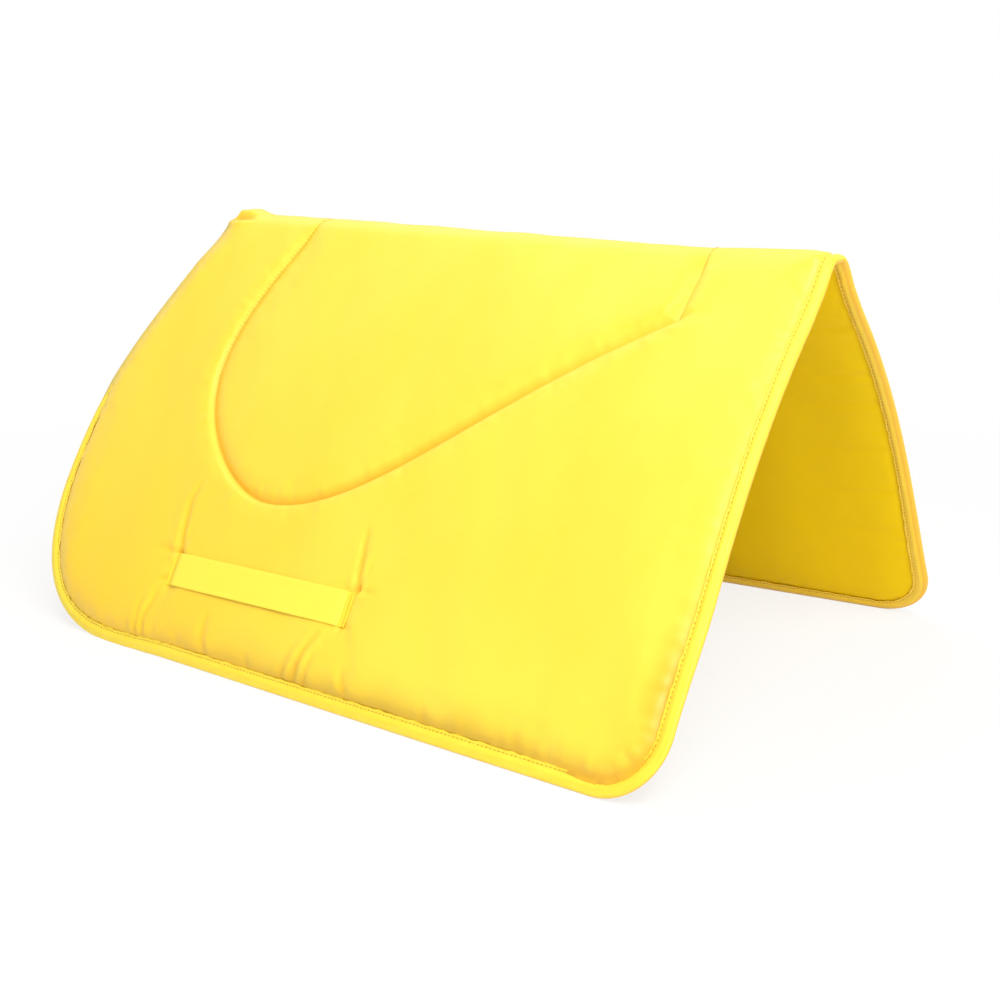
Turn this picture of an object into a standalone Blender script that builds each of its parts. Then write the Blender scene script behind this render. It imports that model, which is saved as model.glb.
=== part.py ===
"""Quilted saddle pad that stands like a tent on its two hems.

Each layer is cut flat first, as on a cutting table: s runs along the spine towards the rear, and t
runs down the flap from the spine, negative on the near side. The flat piece is filled with
triangles and then draped over one middle surface, at the layer's own heights above and below it,
so that cover, foam, lining and binding nest with one named gap between them.
World axes: +X to the rear, +Y to the off side, +Z up. All sizes are in metres, angles in degrees.
"""

import math

import bmesh
import bpy
import numpy as np
from mathutils import Matrix, Vector
from mathutils.geometry import delaunay_2d_cdt, interpolate_bezier

# Finished outline of one flap, laid flat
SPINE_LENGTH = 0.672
FRONT_DROP = 0.4574
REAR_DROP = 0.4733
FRONT_REACH = 0.0944
FRONT_REACH_DROP = 0.252
NOTCH_LEAN = 0.034
NOTCH_RUN = 0.080
REACH_RUN = 0.100
TOE_FALL = 0.240
TOE_SWEEP = 0.096
HEM_FRONT = 0.125
REAR_CORNER_RADIUS = 0.058

# Drape: flank angles from the vertical at the spine, one third, two thirds and the hem
FRONT_FLANK = (30.2, 33.0, 34.0, 18.8)
REAR_FLANK = (52.5, 40.1, 29.9, 35.9)
RIDGE_RADIUS = 0.014
# Where the stiff binding holds the rear end of the ridge up
RIDGE_LIFT = 0.0085
RIDGE_LIFT_REACH = 0.140
RIDGE_LIFT_DEPTH = 0.075
DRAPE_STEPS = 96

# Cloth and padding
SATIN = 0.0008
CLEARANCE = 0.0003
COVER_RISE = 0.0085
LINING_RISE = 0.0055
EDGE_RISE = 0.0023
EDGE_SWELL = 0.034

# Folded binding tape
TAPE = 0.0010
BINDING_LEG = 0.0078
LEG_MARGIN = 0.0005
FLOOR_CUT = 0.0005

# Seat seam, quilted through all layers
SEAT_FRONT = 0.130
SEAT_REAR = 0.1125
SEAT_FORWARD = 0.0614
SEAT_FORWARD_DROP = 0.1643
SEAT_DEPTH = 0.2983
SEAT_DEEPEST = 0.1964
SEAT_CORNER_DROP = 0.0772
SEAT_CORNER_OUT = 0.0022
# How hard the seam's curves pull at each knot, as shares of the stretch between two knots
SPINE_PULL_ALONG = 0.712
SPINE_PULL_DOWN = 0.481
FORWARD_PULL_UP = 0.270
FORWARD_PULL_DOWN = 0.560
LOWEST_PULL_FRONT = 0.366
LOWEST_PULL_REAR = 0.298
CORNER_PULL_ALONG = 0.485
CORNER_PULL_DOWN = 0.534
GROOVE_HALF_WIDTH = 0.018
GROOVE_SHARE = 0.42
LINING_GROOVE_SHARE = 0.62

# Girth keeper: a webbing strap sewn down at its two ends
KEEPER_LENGTH = 0.226
KEEPER_WIDTH = 0.0315
KEEPER_WEBBING = 0.0014
KEEPER_FROM_NOTCH = 0.223
KEEPER_FROM_HEM = 0.0846
KEEPER_STANDOFF = 0.0022
KEEPER_SEWN = 0.006
TUFT_RADIUS = 0.015
TUFT_SHARE = 0.78
KEEPER_COLUMNS = 8
KEEPER_ROWS = 4

# Fold along the spine
FOLD_HALF_WIDTH = 0.036
FOLD_LINES = (0.22, 0.52)

# Spacing of the points that the flat pieces are filled with
FINE_STEP = 0.050
COARSE_STEP = 0.075
RING_STEP = 0.009
FILL_CLEAR_SHARE = 0.55
RING_CLEAR_SHARE = 0.97
EDGE_RING_SHARES = (0.12, 0.45, 1)
SEAM_RING_SHARES = (-1, -0.4, 0.4, 1)
OUTLINE_COUNTS = {"front": 7, "toe": 8, "hem": 7, "corner": 5, "rear": 7}
SEAM_COUNTS = {"front": 6, "bottom": 7, "rear": 6, "corner": 2}
FOLD_ARC_STEPS = 6
TUFT_POINTS = 8
SHARP_ANGLE = 40

BINDING_RADIUS = EDGE_RISE + CLEARANCE + TAPE
FLANGE = BINDING_LEG + LEG_MARGIN
PADDING_START = FLANGE + LEG_MARGIN
HEM_HEIGHT = BINDING_RADIUS - FLOOR_CUT
SPINE_FRONT = -SPINE_LENGTH / 2
SPINE_REAR = SPINE_LENGTH / 2
PATTERN_MIDDLE = (SPINE_FRONT - FRONT_REACH + SPINE_REAR) / 2
FOLD_GAP = CLEARANCE / 2
SAME_PLACE = 1e-6


def drop_at(s):
    """Length of the flap from spine to hem at the place s."""
    share = (s - SPINE_FRONT) / SPINE_LENGTH
    return FRONT_DROP + (REAR_DROP - FRONT_DROP) * share


def curve(start, start_handle, end_handle, end, count):
    """Points along one Bezier stretch, without its last point."""
    knots = [Vector(p).to_3d() for p in (start, start_handle, end_handle, end)]
    return [p.to_2d() for p in interpolate_bezier(*knots, count + 1)[:-1]]


def with_fold_lines(points):
    """Adds the points where both ends of a line cross the fold lines, so that cuts meet them."""
    levels = [FOLD_HALF_WIDTH * share for share in FOLD_LINES]
    levels += [FOLD_HALF_WIDTH - FOLD_GAP, FOLD_HALF_WIDTH + FOLD_GAP]
    result = list(points)
    for level in levels:
        for backwards in (False, True):
            walk = result[::-1] if backwards else result
            index = next(i for i, p in enumerate(walk) if p.y > level + SAME_PLACE)
            low, high = walk[index - 1], walk[index]
            if abs(low.y - level) > SAME_PLACE:
                walk.insert(index, low.lerp(high, (level - low.y) / (high.y - low.y)))
            result = walk[::-1] if backwards else walk
    kept = {0.0, *levels}
    return [p for p in result if not on_fold(p) or any(abs(p.y - k) < SAME_PLACE for k in kept)]


def finished_outline():
    """Outer edge of one flap with its binding on, from the notch round to the rear of the spine."""
    notch = Vector((SPINE_FRONT, 0.0))
    reach = Vector((SPINE_FRONT - FRONT_REACH, FRONT_REACH_DROP))
    hem_front = Vector((SPINE_FRONT + HEM_FRONT, drop_at(SPINE_FRONT + HEM_FRONT)))
    corner_start = SPINE_REAR - REAR_CORNER_RADIUS
    hem_rear = Vector((corner_start, drop_at(corner_start)))
    along_hem = (hem_rear - hem_front).normalized()
    points = curve(notch, notch + Vector((-NOTCH_LEAN, NOTCH_RUN)),
                   reach - Vector((0, REACH_RUN)), reach, OUTLINE_COUNTS["front"])
    points += curve(reach, reach + Vector((0, TOE_FALL)), hem_front - along_hem * TOE_SWEEP, hem_front,
                    OUTLINE_COUNTS["toe"])
    points += [hem_front.lerp(hem_rear, i / OUTLINE_COUNTS["hem"]) for i in range(OUTLINE_COUNTS["hem"])]
    centre = Vector((corner_start, hem_rear.y - REAR_CORNER_RADIUS))
    for i in range(OUTLINE_COUNTS["corner"]):
        turn = math.radians(90) * (1 - i / OUTLINE_COUNTS["corner"])
        points.append(centre + REAR_CORNER_RADIUS * Vector((math.cos(turn), math.sin(turn))))
    side = Vector((SPINE_REAR, centre.y))
    end = Vector((SPINE_REAR, 0.0))
    points += [side.lerp(end, i / OUTLINE_COUNTS["rear"]) for i in range(OUTLINE_COUNTS["rear"] + 1)]
    return with_fold_lines(points)


def seat_seam():
    """The seat-shaped quilting line of one flap, from the spine in front to the spine behind."""
    start = Vector((SPINE_FRONT + SEAT_FRONT, 0.0))
    forward = Vector((start.x - SEAT_FORWARD, SEAT_FORWARD_DROP))
    lowest = Vector((SPINE_FRONT + SEAT_DEEPEST, SEAT_DEPTH))
    rear_start = Vector((SPINE_REAR - SEAT_REAR, 0.0))
    corner = Vector((rear_start.x - SEAT_CORNER_OUT, SEAT_CORNER_DROP))
    lean = forward - start
    points = curve(start, start + Vector((lean.x * SPINE_PULL_ALONG, lean.y * SPINE_PULL_DOWN)),
                   forward - Vector((0, lean.y * FORWARD_PULL_UP)), forward, SEAM_COUNTS["front"])
    fall = lowest - forward
    points += curve(forward, forward + Vector((0, fall.y * FORWARD_PULL_DOWN)),
                    lowest - Vector((fall.x * LOWEST_PULL_FRONT, 0)), lowest, SEAM_COUNTS["bottom"])
    climb = corner - lowest
    points += curve(lowest, lowest + Vector((climb.x * LOWEST_PULL_REAR, 0)),
                    corner - Vector((climb.x * CORNER_PULL_ALONG, climb.y * CORNER_PULL_DOWN)),
                    corner, SEAM_COUNTS["rear"])
    points += [corner.lerp(rear_start, i / SEAM_COUNTS["corner"]) for i in range(SEAM_COUNTS["corner"] + 1)]
    return with_fold_lines(points)


def on_fold(point):
    """True for the points of a line that lie on the fold lines or at the cut beside them."""
    return point.y <= FOLD_HALF_WIDTH + 2 * FOLD_GAP


def moved_in(points, distance):
    """The same line moved inwards, along s only near the fold so that it stays on the fold lines."""
    result = []
    for i, point in enumerate(points):
        before = points[i - 1] if i else Vector((points[1].x, -points[1].y))
        after = points[i + 1] if i + 1 < len(points) else Vector((points[-2].x, -points[-2].y))
        first = (point - before).normalized()
        second = (after - point).normalized()
        if on_fold(point):
            leg = second if first.y > 0 and point.y > 0 else first
            leg = second if i == 0 else leg
            result.append(point + Vector((distance / leg.y, 0.0)))
            continue
        normal = Vector((first.y, -first.x)) + Vector((second.y, -second.x))
        normal.normalize()
        result.append(point + normal * (distance / normal.dot(Vector((first.y, -first.x)))))
    return result


def distance_to(line, s, t):
    """Shortest distance from the flat points (s, t) to a line, with the near side folded over."""
    places = np.stack([np.ravel(s), np.abs(np.ravel(t))], axis=1)
    return distance_between(line, places)


def distance_between(line, places):
    """Shortest distance from flat places to a line."""
    nodes = np.array([tuple(p) for p in line])
    best = np.full(len(places), np.inf)
    for start, step in zip(nodes[:-1], np.diff(nodes, axis=0)):
        share = np.clip((places - start) @ step / max(float(step @ step), 1e-12), 0, 1)
        best = np.minimum(best, np.linalg.norm(places - start - share[:, None] * step, axis=1))
    return best


def run_on(line, length):
    """The line with a straight stretch past the spine at both ends, so that distances mitre there."""
    front = line[0] + (line[0] - line[1]).normalized() * length
    rear = line[-1] + (line[-1] - line[-2]).normalized() * length
    return [front, *line, rear]


def ring(points, distance):
    """Line beside another, without the points that crowd together inside a tight turn."""
    moved = moved_in(points, distance)
    gaps = distance_between(points, np.array([tuple(p) for p in moved]))
    clear = gaps > RING_CLEAR_SHARE * abs(distance)
    result = []
    for source, point, is_clear in zip(points, moved, clear):
        crowded = result and (point - result[-1]).length < RING_STEP
        off_fold = point.y > FOLD_HALF_WIDTH + RING_STEP / 2
        if on_fold(source) or (is_clear and off_fold and not crowded):
            result.append(point)
    return result


OUTLINE = finished_outline()
CLOTH_EDGE = moved_in(OUTLINE, BINDING_RADIUS)
FLANGE_RING = moved_in(OUTLINE, BINDING_RADIUS + FLANGE)
SEAM = seat_seam()
EDGE_RINGS = [FLANGE_RING] + [ring(OUTLINE, BINDING_RADIUS + PADDING_START + EDGE_SWELL * share)
                              for share in EDGE_RING_SHARES]
SEAM_RINGS = [ring(SEAM, GROOVE_HALF_WIDTH * share) for share in SEAM_RING_SHARES]
EDGE_GUIDE = run_on(CLOTH_EDGE, PADDING_START + EDGE_SWELL)
SEAM_GUIDE = run_on(SEAM, GROOVE_HALF_WIDTH)


def keeper_ends():
    """Flat places of the two lines that sew a keeper down, each as a pair of points."""
    middle_s = SPINE_FRONT + KEEPER_FROM_NOTCH
    middle_t = drop_at(middle_s) - KEEPER_FROM_HEM
    ends = []
    for sign in (-1, 1):
        s = middle_s + sign * (KEEPER_LENGTH / 2 - KEEPER_SEWN / 2)
        ends.append((Vector((s, middle_t - KEEPER_WIDTH / 2)), Vector((s, middle_t + KEEPER_WIDTH / 2))))
    return ends


KEEPER_ENDS = keeper_ends()


def swell(distance, span):
    """Rounded rise from 0 to 1 over the span, steep at its foot like a stuffed panel."""
    left = 1 - np.clip(distance / span, 0, 1)
    return np.sqrt(1 - left ** 2)


def rise(s, t, outside):
    """Height of the padding's face above the middle surface, on the cover side or the lining side."""
    full = COVER_RISE if outside else LINING_RISE
    share = GROOVE_SHARE if outside else LINING_GROOVE_SHARE
    edge = swell(distance_to(EDGE_GUIDE, s, t) - PADDING_START, EDGE_SWELL)
    groove = share + (1 - share) * swell(distance_to(SEAM_GUIDE, s, t), GROOVE_HALF_WIDTH)
    tuft = 1.0
    if outside:
        for line in KEEPER_ENDS:
            tuft = tuft * (TUFT_SHARE + (1 - TUFT_SHARE) * swell(distance_to(line, s, t), TUFT_RADIUS))
    return EDGE_RISE + (full - EDGE_RISE) * edge * groove * tuft


def flank_angles(s, depth, drop):
    """Angle of the middle surface from the vertical, in radians, at each depth down the flap."""
    share = (s - SPINE_FRONT) / SPINE_LENGTH
    u = depth / drop
    angle = np.zeros_like(depth)
    for i in range(4):
        station = FRONT_FLANK[i] + (REAR_FLANK[i] - FRONT_FLANK[i]) * share
        weight = 1.0
        for k in range(4):
            if k != i:
                weight = weight * (u * 3 - k) / (i - k)
        angle = angle + station * weight
    top = FRONT_FLANK[0] + (REAR_FLANK[0] - FRONT_FLANK[0]) * share
    bend = RIDGE_RADIUS * np.radians(90 - top)
    angle = 90 + (angle - 90) * np.clip(depth / bend, 0, 1)
    return np.radians(angle)


def ridge_lift(s, t):
    """How far the rear end of the ridge is held up, fading forwards and down both flaps."""
    along = np.clip(1 - (SPINE_REAR - s) / RIDGE_LIFT_REACH, 0, 1)
    up = np.clip(1 - np.abs(t) / RIDGE_LIFT_DEPTH, 0, 1)
    return RIDGE_LIFT * along * up * up * (3 - 2 * up)


def drape(s, t, height):
    """World places of flat points (s, t) at a height above the middle surface."""
    s, t, height = (np.atleast_1d(np.asarray(v, dtype=float)) for v in (s, t, height))
    drop = drop_at(s)
    steps = np.linspace(0, 1, DRAPE_STEPS + 1)[:, None]

    def fallen(length):
        """Run sideways and fall downwards along the surface, over each length."""
        angle = flank_angles(s, steps * length, drop)
        run, fall = np.sin(angle), np.cos(angle)
        width = length / DRAPE_STEPS
        run = (run[:-1] + run[1:]).sum(axis=0) / 2 * width
        fall = (fall[:-1] + fall[1:]).sum(axis=0) / 2 * width
        return run, fall, angle[-1]

    ridge = HEM_HEIGHT + fallen(drop - BINDING_RADIUS)[1]
    run, fall, angle = fallen(np.abs(t))
    side = np.where(t < 0, -1.0, 1.0)
    return np.stack([s - PATTERN_MIDDLE, side * (run + height * np.cos(angle)),
                     ridge - fall + height * np.sin(angle) + ridge_lift(s, t)], axis=1)


def portion(line, part):
    """Stretches of a flap's line that lie in a part: one on a flap, two stubs over the spine."""
    if part != "spine":
        return [[p for p in line if p.y > FOLD_HALF_WIDTH]]
    low = [p for p in line if p.y < FOLD_HALF_WIDTH]
    half = len(low) // 2
    front, rear = low[:half], low[half:]
    mirrored = [Vector((p.x, -p.y)) for p in front[:0:-1]]
    mirrored_rear = [Vector((p.x, -p.y)) for p in rear[-2::-1]]
    return [mirrored + front, rear + mirrored_rear]


def fill_points(step, boundary, lines):
    """Staggered points inside a boundary that keep clear of the lines."""
    nodes = np.array([tuple(p) for p in boundary])
    low, high = nodes.min(axis=0), nodes.max(axis=0)
    rows = max(1, round((high[1] - low[1]) / (step * math.sqrt(3) / 2)))
    points = []
    for row in range(1, rows):
        t = low[1] + (high[1] - low[1]) * row / rows
        count = int((high[0] - low[0]) / step)
        points += [(low[0] + (i + 0.5 * (row % 2)) * step, t) for i in range(count + 1)]
    points = np.array(points).reshape(-1, 2)
    keep = np.array([inside(nodes, p) for p in points], dtype=bool)
    for line in [boundary + boundary[:1], *lines]:
        keep &= distance_between(line, points) > FILL_CLEAR_SHARE * step
    return [Vector(p) for p in points[keep]]


def inside(nodes, place):
    """True where a flat place lies inside a closed loop."""
    x, y = place
    following = np.roll(nodes, -1, axis=0)
    crosses = (nodes[:, 1] > y) != (following[:, 1] > y)
    rise_y = np.where(crosses, following[:, 1] - nodes[:, 1], 1.0)
    at = nodes[:, 0] + (y - nodes[:, 1]) * (following[:, 0] - nodes[:, 0]) / rise_y
    return bool(np.sum(crosses & (x < at)) % 2)


def tuft_lines():
    """Short closed lines round each sewn keeper end, with the sewn line itself."""
    lines = []
    for top, bottom in KEEPER_ENDS:
        middle = top.lerp(bottom, 0.5)
        lines.append([top, middle, bottom])
        loop = []
        for i in range(TUFT_POINTS):
            turn = math.radians(360) * i / TUFT_POINTS
            out = Vector((math.cos(turn), math.sin(turn)))
            anchor = middle if abs(out.y) < SAME_PLACE else top if out.y < 0 else bottom
            loop.append(anchor + TUFT_RADIUS * out)
        lines.append(loop + loop[:1])
    return lines


def flap_pattern(fine):
    """Flat triangles of one flap from the fold to the cloth edge: points and index triples."""
    edge = portion(CLOTH_EDGE, "flap")[0]
    every_ring = [portion(line, "flap")[0] for line in [*EDGE_RINGS, SEAM, *SEAM_RINGS]]
    rings = every_ring if fine else [every_ring[i] for i in (0, 2, 4, 5, 8)]
    crossings = sorted({end.x for ring in every_ring for end in (ring[0], ring[-1])}, reverse=True)
    fold_t = edge[0].y
    fold = []
    marks = [edge[-1].x, *crossings, edge[0].x]
    for high, low in zip(marks[:-1], marks[1:]):
        parts = max(1, round((high - low) / FINE_STEP))
        fold += [Vector((high + (low - high) * i / parts, fold_t)) for i in range(parts)]
    boundary = edge + fold[1:]
    lines = rings + (tuft_lines() if fine else [])
    return filled(boundary, lines, FINE_STEP if fine else COARSE_STEP)


def spine_pattern():
    """Flat triangles of the strip over the spine: one row of points on each fold line."""
    front_edge, rear_edge = portion(CLOTH_EDGE, "spine")
    stubs = [stub for line in [*EDGE_RINGS, SEAM, *SEAM_RINGS] for stub in portion(line, "spine")]
    stubs = sorted([front_edge, rear_edge[::-1], *stubs], key=lambda stub: stub[0].x)
    stubs = [stub if stub[0].y < stub[-1].y else stub[::-1] for stub in stubs]
    middle = len(front_edge) // 2
    parts = [max(1, round((high[middle].x - low[middle].x) / FINE_STEP))
             for low, high in zip(stubs[:-1], stubs[1:])]
    nodes = []
    for row in range(len(front_edge)):
        for low, high, count in zip(stubs[:-1], stubs[1:], parts):
            nodes += [low[row].lerp(high[row], i / count) for i in range(count)]
        nodes.append(stubs[-1][row])
    width = sum(parts) + 1
    faces = []
    for row in range(len(front_edge) - 1):
        for i in range(width - 1):
            a, b = row * width + i, row * width + i + 1
            c, d = b + width, a + width
            faces += [(a, b, c), (a, c, d)] if row < middle else [(a, b, d), (b, c, d)]
    return np.array([tuple(p) for p in nodes]), faces


def snapped(point):
    """The flat point on a grid of one micrometre, so that lines that meet share their points."""
    return Vector((round(point.x, 6), round(point.y, 6)))


def filled(boundary, lines, step):
    """Triangulates a closed flat boundary so that edges run along every line."""
    boundary = [snapped(p) for p in boundary]
    points = list(boundary)
    edges = [(i, (i + 1) % len(boundary)) for i in range(len(boundary))]
    for line in lines:
        first = len(points)
        points += [snapped(p) for p in line]
        edges += [(first + i, first + i + 1) for i in range(len(line) - 1)]
    points += fill_points(step, boundary, lines)
    found, _, faces, *_ = delaunay_2d_cdt(points, edges, [list(range(len(boundary)))], 1, 1e-6)
    nodes = np.array([tuple(p) for p in found])
    loop = np.array([tuple(p) for p in boundary])
    faces = [f for f in faces if inside(loop, nodes[list(f)].mean(axis=0))]
    return nodes, faces


def rim_edges(faces):
    """Directed edges that only one face uses."""
    used = {}
    for face in faces:
        for i, start in enumerate(face):
            used[(start, face[(i + 1) % len(face)])] = True
    return [edge for edge in used if edge[::-1] not in used]


def sheet(upper, lower, side, upper_height, lower_height):
    """Closed layer between two draped faces whose flat patterns share one rim."""
    bm = bmesh.new()
    faces_of = []
    for (nodes, faces), height in ((upper, upper_height), (lower, lower_height)):
        places = drape(nodes[:, 0], side * nodes[:, 1], height(nodes[:, 0], nodes[:, 1]))
        verts = [bm.verts.new(p) for p in places]
        for face in faces:
            bm.faces.new([verts[i] for i in face])
        faces_of.append((nodes, faces, verts))
    (top_nodes, top_faces, top_verts), (low_nodes, _, low_verts) = faces_of
    for a, b in rim_edges(top_faces):
        below = [low_verts[int(np.argmin(((low_nodes - top_nodes[i]) ** 2).sum(axis=1)))] for i in (a, b)]
        bm.faces.new([top_verts[a], top_verts[b], below[1], below[0]])
    bmesh.ops.recalc_face_normals(bm, faces=bm.faces)
    return bm


def lofted(sections):
    """Closed body through a row of closed sections, each one listed along its face and back."""
    bm = bmesh.new()
    rows = [[bm.verts.new(place) for place in section] for section in sections]
    count = len(rows[0])
    for one, two in zip(rows[:-1], rows[1:]):
        for k in range(count):
            n = (k + 1) % count
            bm.faces.new([one[k], one[n], two[n], two[k]])
    for section in (rows[0], rows[-1]):
        for k in range(count // 2 - 1):
            bm.faces.new([section[k], section[k + 1], section[-2 - k], section[-1 - k]])
    bmesh.ops.recalc_face_normals(bm, faces=bm.faces)
    return bm


def tape_profile():
    """Closed section of the folded tape as (depth in from the cloth edge, height)."""
    inner = BINDING_RADIUS - TAPE
    profile = []
    for radius, order in ((BINDING_RADIUS, 1), (inner, -1)):
        turns = [math.radians(90 - 180 * i / FOLD_ARC_STEPS) for i in range(FOLD_ARC_STEPS + 1)]
        arc = [(-radius * math.cos(turn), radius * math.sin(turn)) for turn in turns]
        profile += [(BINDING_LEG, radius), *arc, (BINDING_LEG, -radius)][::order]
    return profile


def tape(part, stretch, side):
    """Folded tape along one stretch of the outline, a whole section of the tape at every point."""
    rows = []
    for depth, height in tape_profile():
        line = portion(moved_in(OUTLINE, BINDING_RADIUS + depth), part)[stretch]
        flat = np.array([tuple(p) for p in line])
        rows.append(drape(flat[:, 0], side * flat[:, 1], np.full(len(flat), height)))
    return lofted(list(zip(*rows)))


def flatten_on_floor(bm):
    """Cuts the hem's lowest edge flat where the pad stands."""
    geometry = bm.verts[:] + bm.edges[:] + bm.faces[:]
    cut = bmesh.ops.bisect_plane(bm, geom=geometry, plane_co=(0, 0, 0), plane_no=(0, 0, -1),
                                 clear_outer=True)
    edges = [e for e in cut["geom_cut"] if isinstance(e, bmesh.types.BMEdge)]
    filled_faces = bmesh.ops.holes_fill(bm, edges=edges)["faces"]
    bmesh.ops.triangulate(bm, faces=filled_faces)
    bmesh.ops.recalc_face_normals(bm, faces=bm.faces)


def keeper(side):
    """Webbing strap that lies on the cover at its sewn ends and stands off it between them."""
    (first_top, first_bottom), (last_top, _) = KEEPER_ENDS
    start = first_top.x - KEEPER_SEWN / 2
    end = last_top.x + KEEPER_SEWN / 2
    near_ends = [0.0, KEEPER_SEWN / 2, KEEPER_SEWN]
    near_ends += [(KEEPER_SEWN + TUFT_RADIUS) / 2, TUFT_RADIUS + KEEPER_SEWN / 2]
    places = [start + step for step in near_ends]
    span = (end - near_ends[-1]) - places[-1]
    places += [places[-1] + span * i / KEEPER_COLUMNS for i in range(1, KEEPER_COLUMNS)]
    places += [end - step for step in reversed(near_ends)]
    t = np.linspace(first_top.y, first_bottom.y, KEEPER_ROWS)
    sections = []
    for place in places:
        s = np.full(KEEPER_ROWS, place)
        along = np.clip((place - start - KEEPER_SEWN) / (end - start - 2 * KEEPER_SEWN), 0, 1)
        low = rise(s, t, True) + CLEARANCE + KEEPER_STANDOFF * math.sqrt(math.sin(math.pi * along))
        over = drape(s, side * t, low + KEEPER_WEBBING)
        under = drape(s, side * t, low)
        sections.append([*over, *under[::-1]])
    return lofted(sections)


def material(name, colour, roughness):
    """Plain dyed cloth or foam."""
    finish = bpy.data.materials.new(name)
    finish.use_nodes = True
    shader = finish.node_tree.nodes["Principled BSDF"]
    shader.inputs["Base Color"].default_value = (*colour, 1.0)
    shader.inputs["Roughness"].default_value = roughness
    shader.inputs["Metallic"].default_value = 0.0
    return finish


def add(name, bm, finish, parent=None):
    """Turns a finished bmesh into a named object with its own material."""
    mesh = bpy.data.meshes.new(name)
    bm.to_mesh(mesh)
    bm.free()
    mesh.materials.append(finish)
    mesh.shade_smooth()
    mesh.set_sharp_from_angle(angle=math.radians(SHARP_ANGLE))
    piece = bpy.data.objects.new(name, mesh)
    bpy.context.collection.objects.link(piece)
    if parent:
        piece.parent = parent
        piece.matrix_parent_inverse = parent.matrix_world.inverted()
    return piece


def fold_axis():
    """Empty on the spine's fold, its X axis along the level ridge; the off side turns about it."""
    ends = drape([SPINE_FRONT, SPINE_REAR - RIDGE_LIFT_REACH], [0.0, 0.0], [0.0, 0.0])
    front, rear = Vector(ends[0]), Vector(ends[1])
    along = (rear - front).normalized()
    empty = bpy.data.objects.new("spine_fold_axis", None)
    up = along.cross(Vector((0, 1, 0))).normalized()
    turn = Matrix((along, Vector((0, 1, 0)), up)).transposed()
    empty.matrix_world = Matrix.Translation((front + rear) / 2) @ turn.to_4x4()
    bpy.context.collection.objects.link(empty)
    bpy.context.view_layer.update()
    return empty


def layers(patterns, side):
    """The three padded layers over one part of the pattern."""
    fine, coarse = patterns

    def at(outside, sign, inset):
        return lambda s, t: sign * (rise(s, t, outside) - inset)

    cover = sheet(fine, fine, side, at(True, 1, 0), at(True, 1, SATIN))
    foam = sheet(fine, coarse, side, at(True, 1, SATIN + CLEARANCE), at(False, -1, SATIN + CLEARANCE))
    lining = sheet(coarse, coarse, side, at(False, -1, SATIN), at(False, -1, 0))
    return {"cover": cover, "foam": foam, "lining": lining}


def build():
    """Makes every piece of the pad."""
    for old in list(bpy.data.objects):
        bpy.data.objects.remove(old, do_unlink=True)
    finishes = {
        "cover": material("cover_satin", (0.95, 0.80, 0.08), 0.42),
        "foam": material("foam", (0.93, 0.88, 0.70), 0.90),
        "lining": material("lining_satin", (0.93, 0.76, 0.08), 0.50),
        "binding": material("binding_tape", (0.95, 0.72, 0.05), 0.55),
        "keeper": material("keeper_webbing", (0.96, 0.85, 0.18), 0.70),
    }
    hinge = fold_axis()
    flap = flap_pattern(True), flap_pattern(False)
    strip = spine_pattern()
    for name, side, parent in (("near", -1, None), ("off", 1, hinge)):
        for layer, bm in layers(flap, side).items():
            add(f"{name}_{layer}", bm, finishes[layer], parent)
        binding = tape("flap", 0, side)
        flatten_on_floor(binding)
        add(f"{name}_binding", binding, finishes["binding"], parent)
        add(f"{name}_girth_keeper", keeper(side), finishes["keeper"], parent)
    for layer, bm in layers((strip, strip), 1).items():
        add(f"spine_{layer}", bm, finishes[layer])
    for stretch, name in enumerate(("front_spine_binding", "rear_spine_binding")):
        add(name, tape("spine", stretch, 1), finishes["binding"])


build()
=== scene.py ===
"""Looks of a quilted saddle pad that stands like a tent on its two hems.

Every soft layer is cut flat, as on a cutting table: s runs along the spine towards the rear, and t
runs down the flap from the spine, negative on the near side. The flat cloth is shaped there, by its
padding, its sewing and a short cloth simulation, and is then draped over one middle surface, so that
cover, foam, lining, binding, keepers and threads nest. World axes: +X to the rear, +Y to the off
side, +Z up. All sizes are in metres, angles in degrees.
"""

import logging
import math
from dataclasses import dataclass, field, replace
from enum import Enum

import bmesh
import bpy
import numpy as np
from mathutils import Euler, Matrix, Vector
from mathutils.geometry import interpolate_bezier


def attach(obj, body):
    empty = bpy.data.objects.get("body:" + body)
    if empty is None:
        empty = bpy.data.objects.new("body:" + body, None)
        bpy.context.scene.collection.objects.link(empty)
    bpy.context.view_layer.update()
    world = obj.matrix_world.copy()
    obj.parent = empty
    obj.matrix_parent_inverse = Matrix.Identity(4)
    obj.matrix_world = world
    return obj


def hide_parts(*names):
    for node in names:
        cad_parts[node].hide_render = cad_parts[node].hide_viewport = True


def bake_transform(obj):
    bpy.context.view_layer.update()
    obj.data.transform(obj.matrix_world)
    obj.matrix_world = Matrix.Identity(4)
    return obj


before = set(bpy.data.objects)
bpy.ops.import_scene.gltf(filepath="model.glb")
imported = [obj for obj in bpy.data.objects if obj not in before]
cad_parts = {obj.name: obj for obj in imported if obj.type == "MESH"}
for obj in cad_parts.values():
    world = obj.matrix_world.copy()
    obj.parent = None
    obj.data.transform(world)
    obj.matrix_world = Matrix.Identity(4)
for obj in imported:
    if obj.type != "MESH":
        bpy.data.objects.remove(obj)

LOG = logging.getLogger("saddle_pad")
CHUNK = 4000
FULL_TURN = 2 * math.pi
QUARTER_TURN = FULL_TURN / 4
SMALL = 1e-9
WHITE = (1.0, 1.0, 1.0, 1.0)

Pair = tuple[float, float]
Triple = tuple[float, float, float]
Socket = bpy.types.NodeSocket


class Face(Enum):
    """The two faces of the pad: the cover lies outside, the lining against the horse."""

    COVER = 1
    LINING = -1


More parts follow.
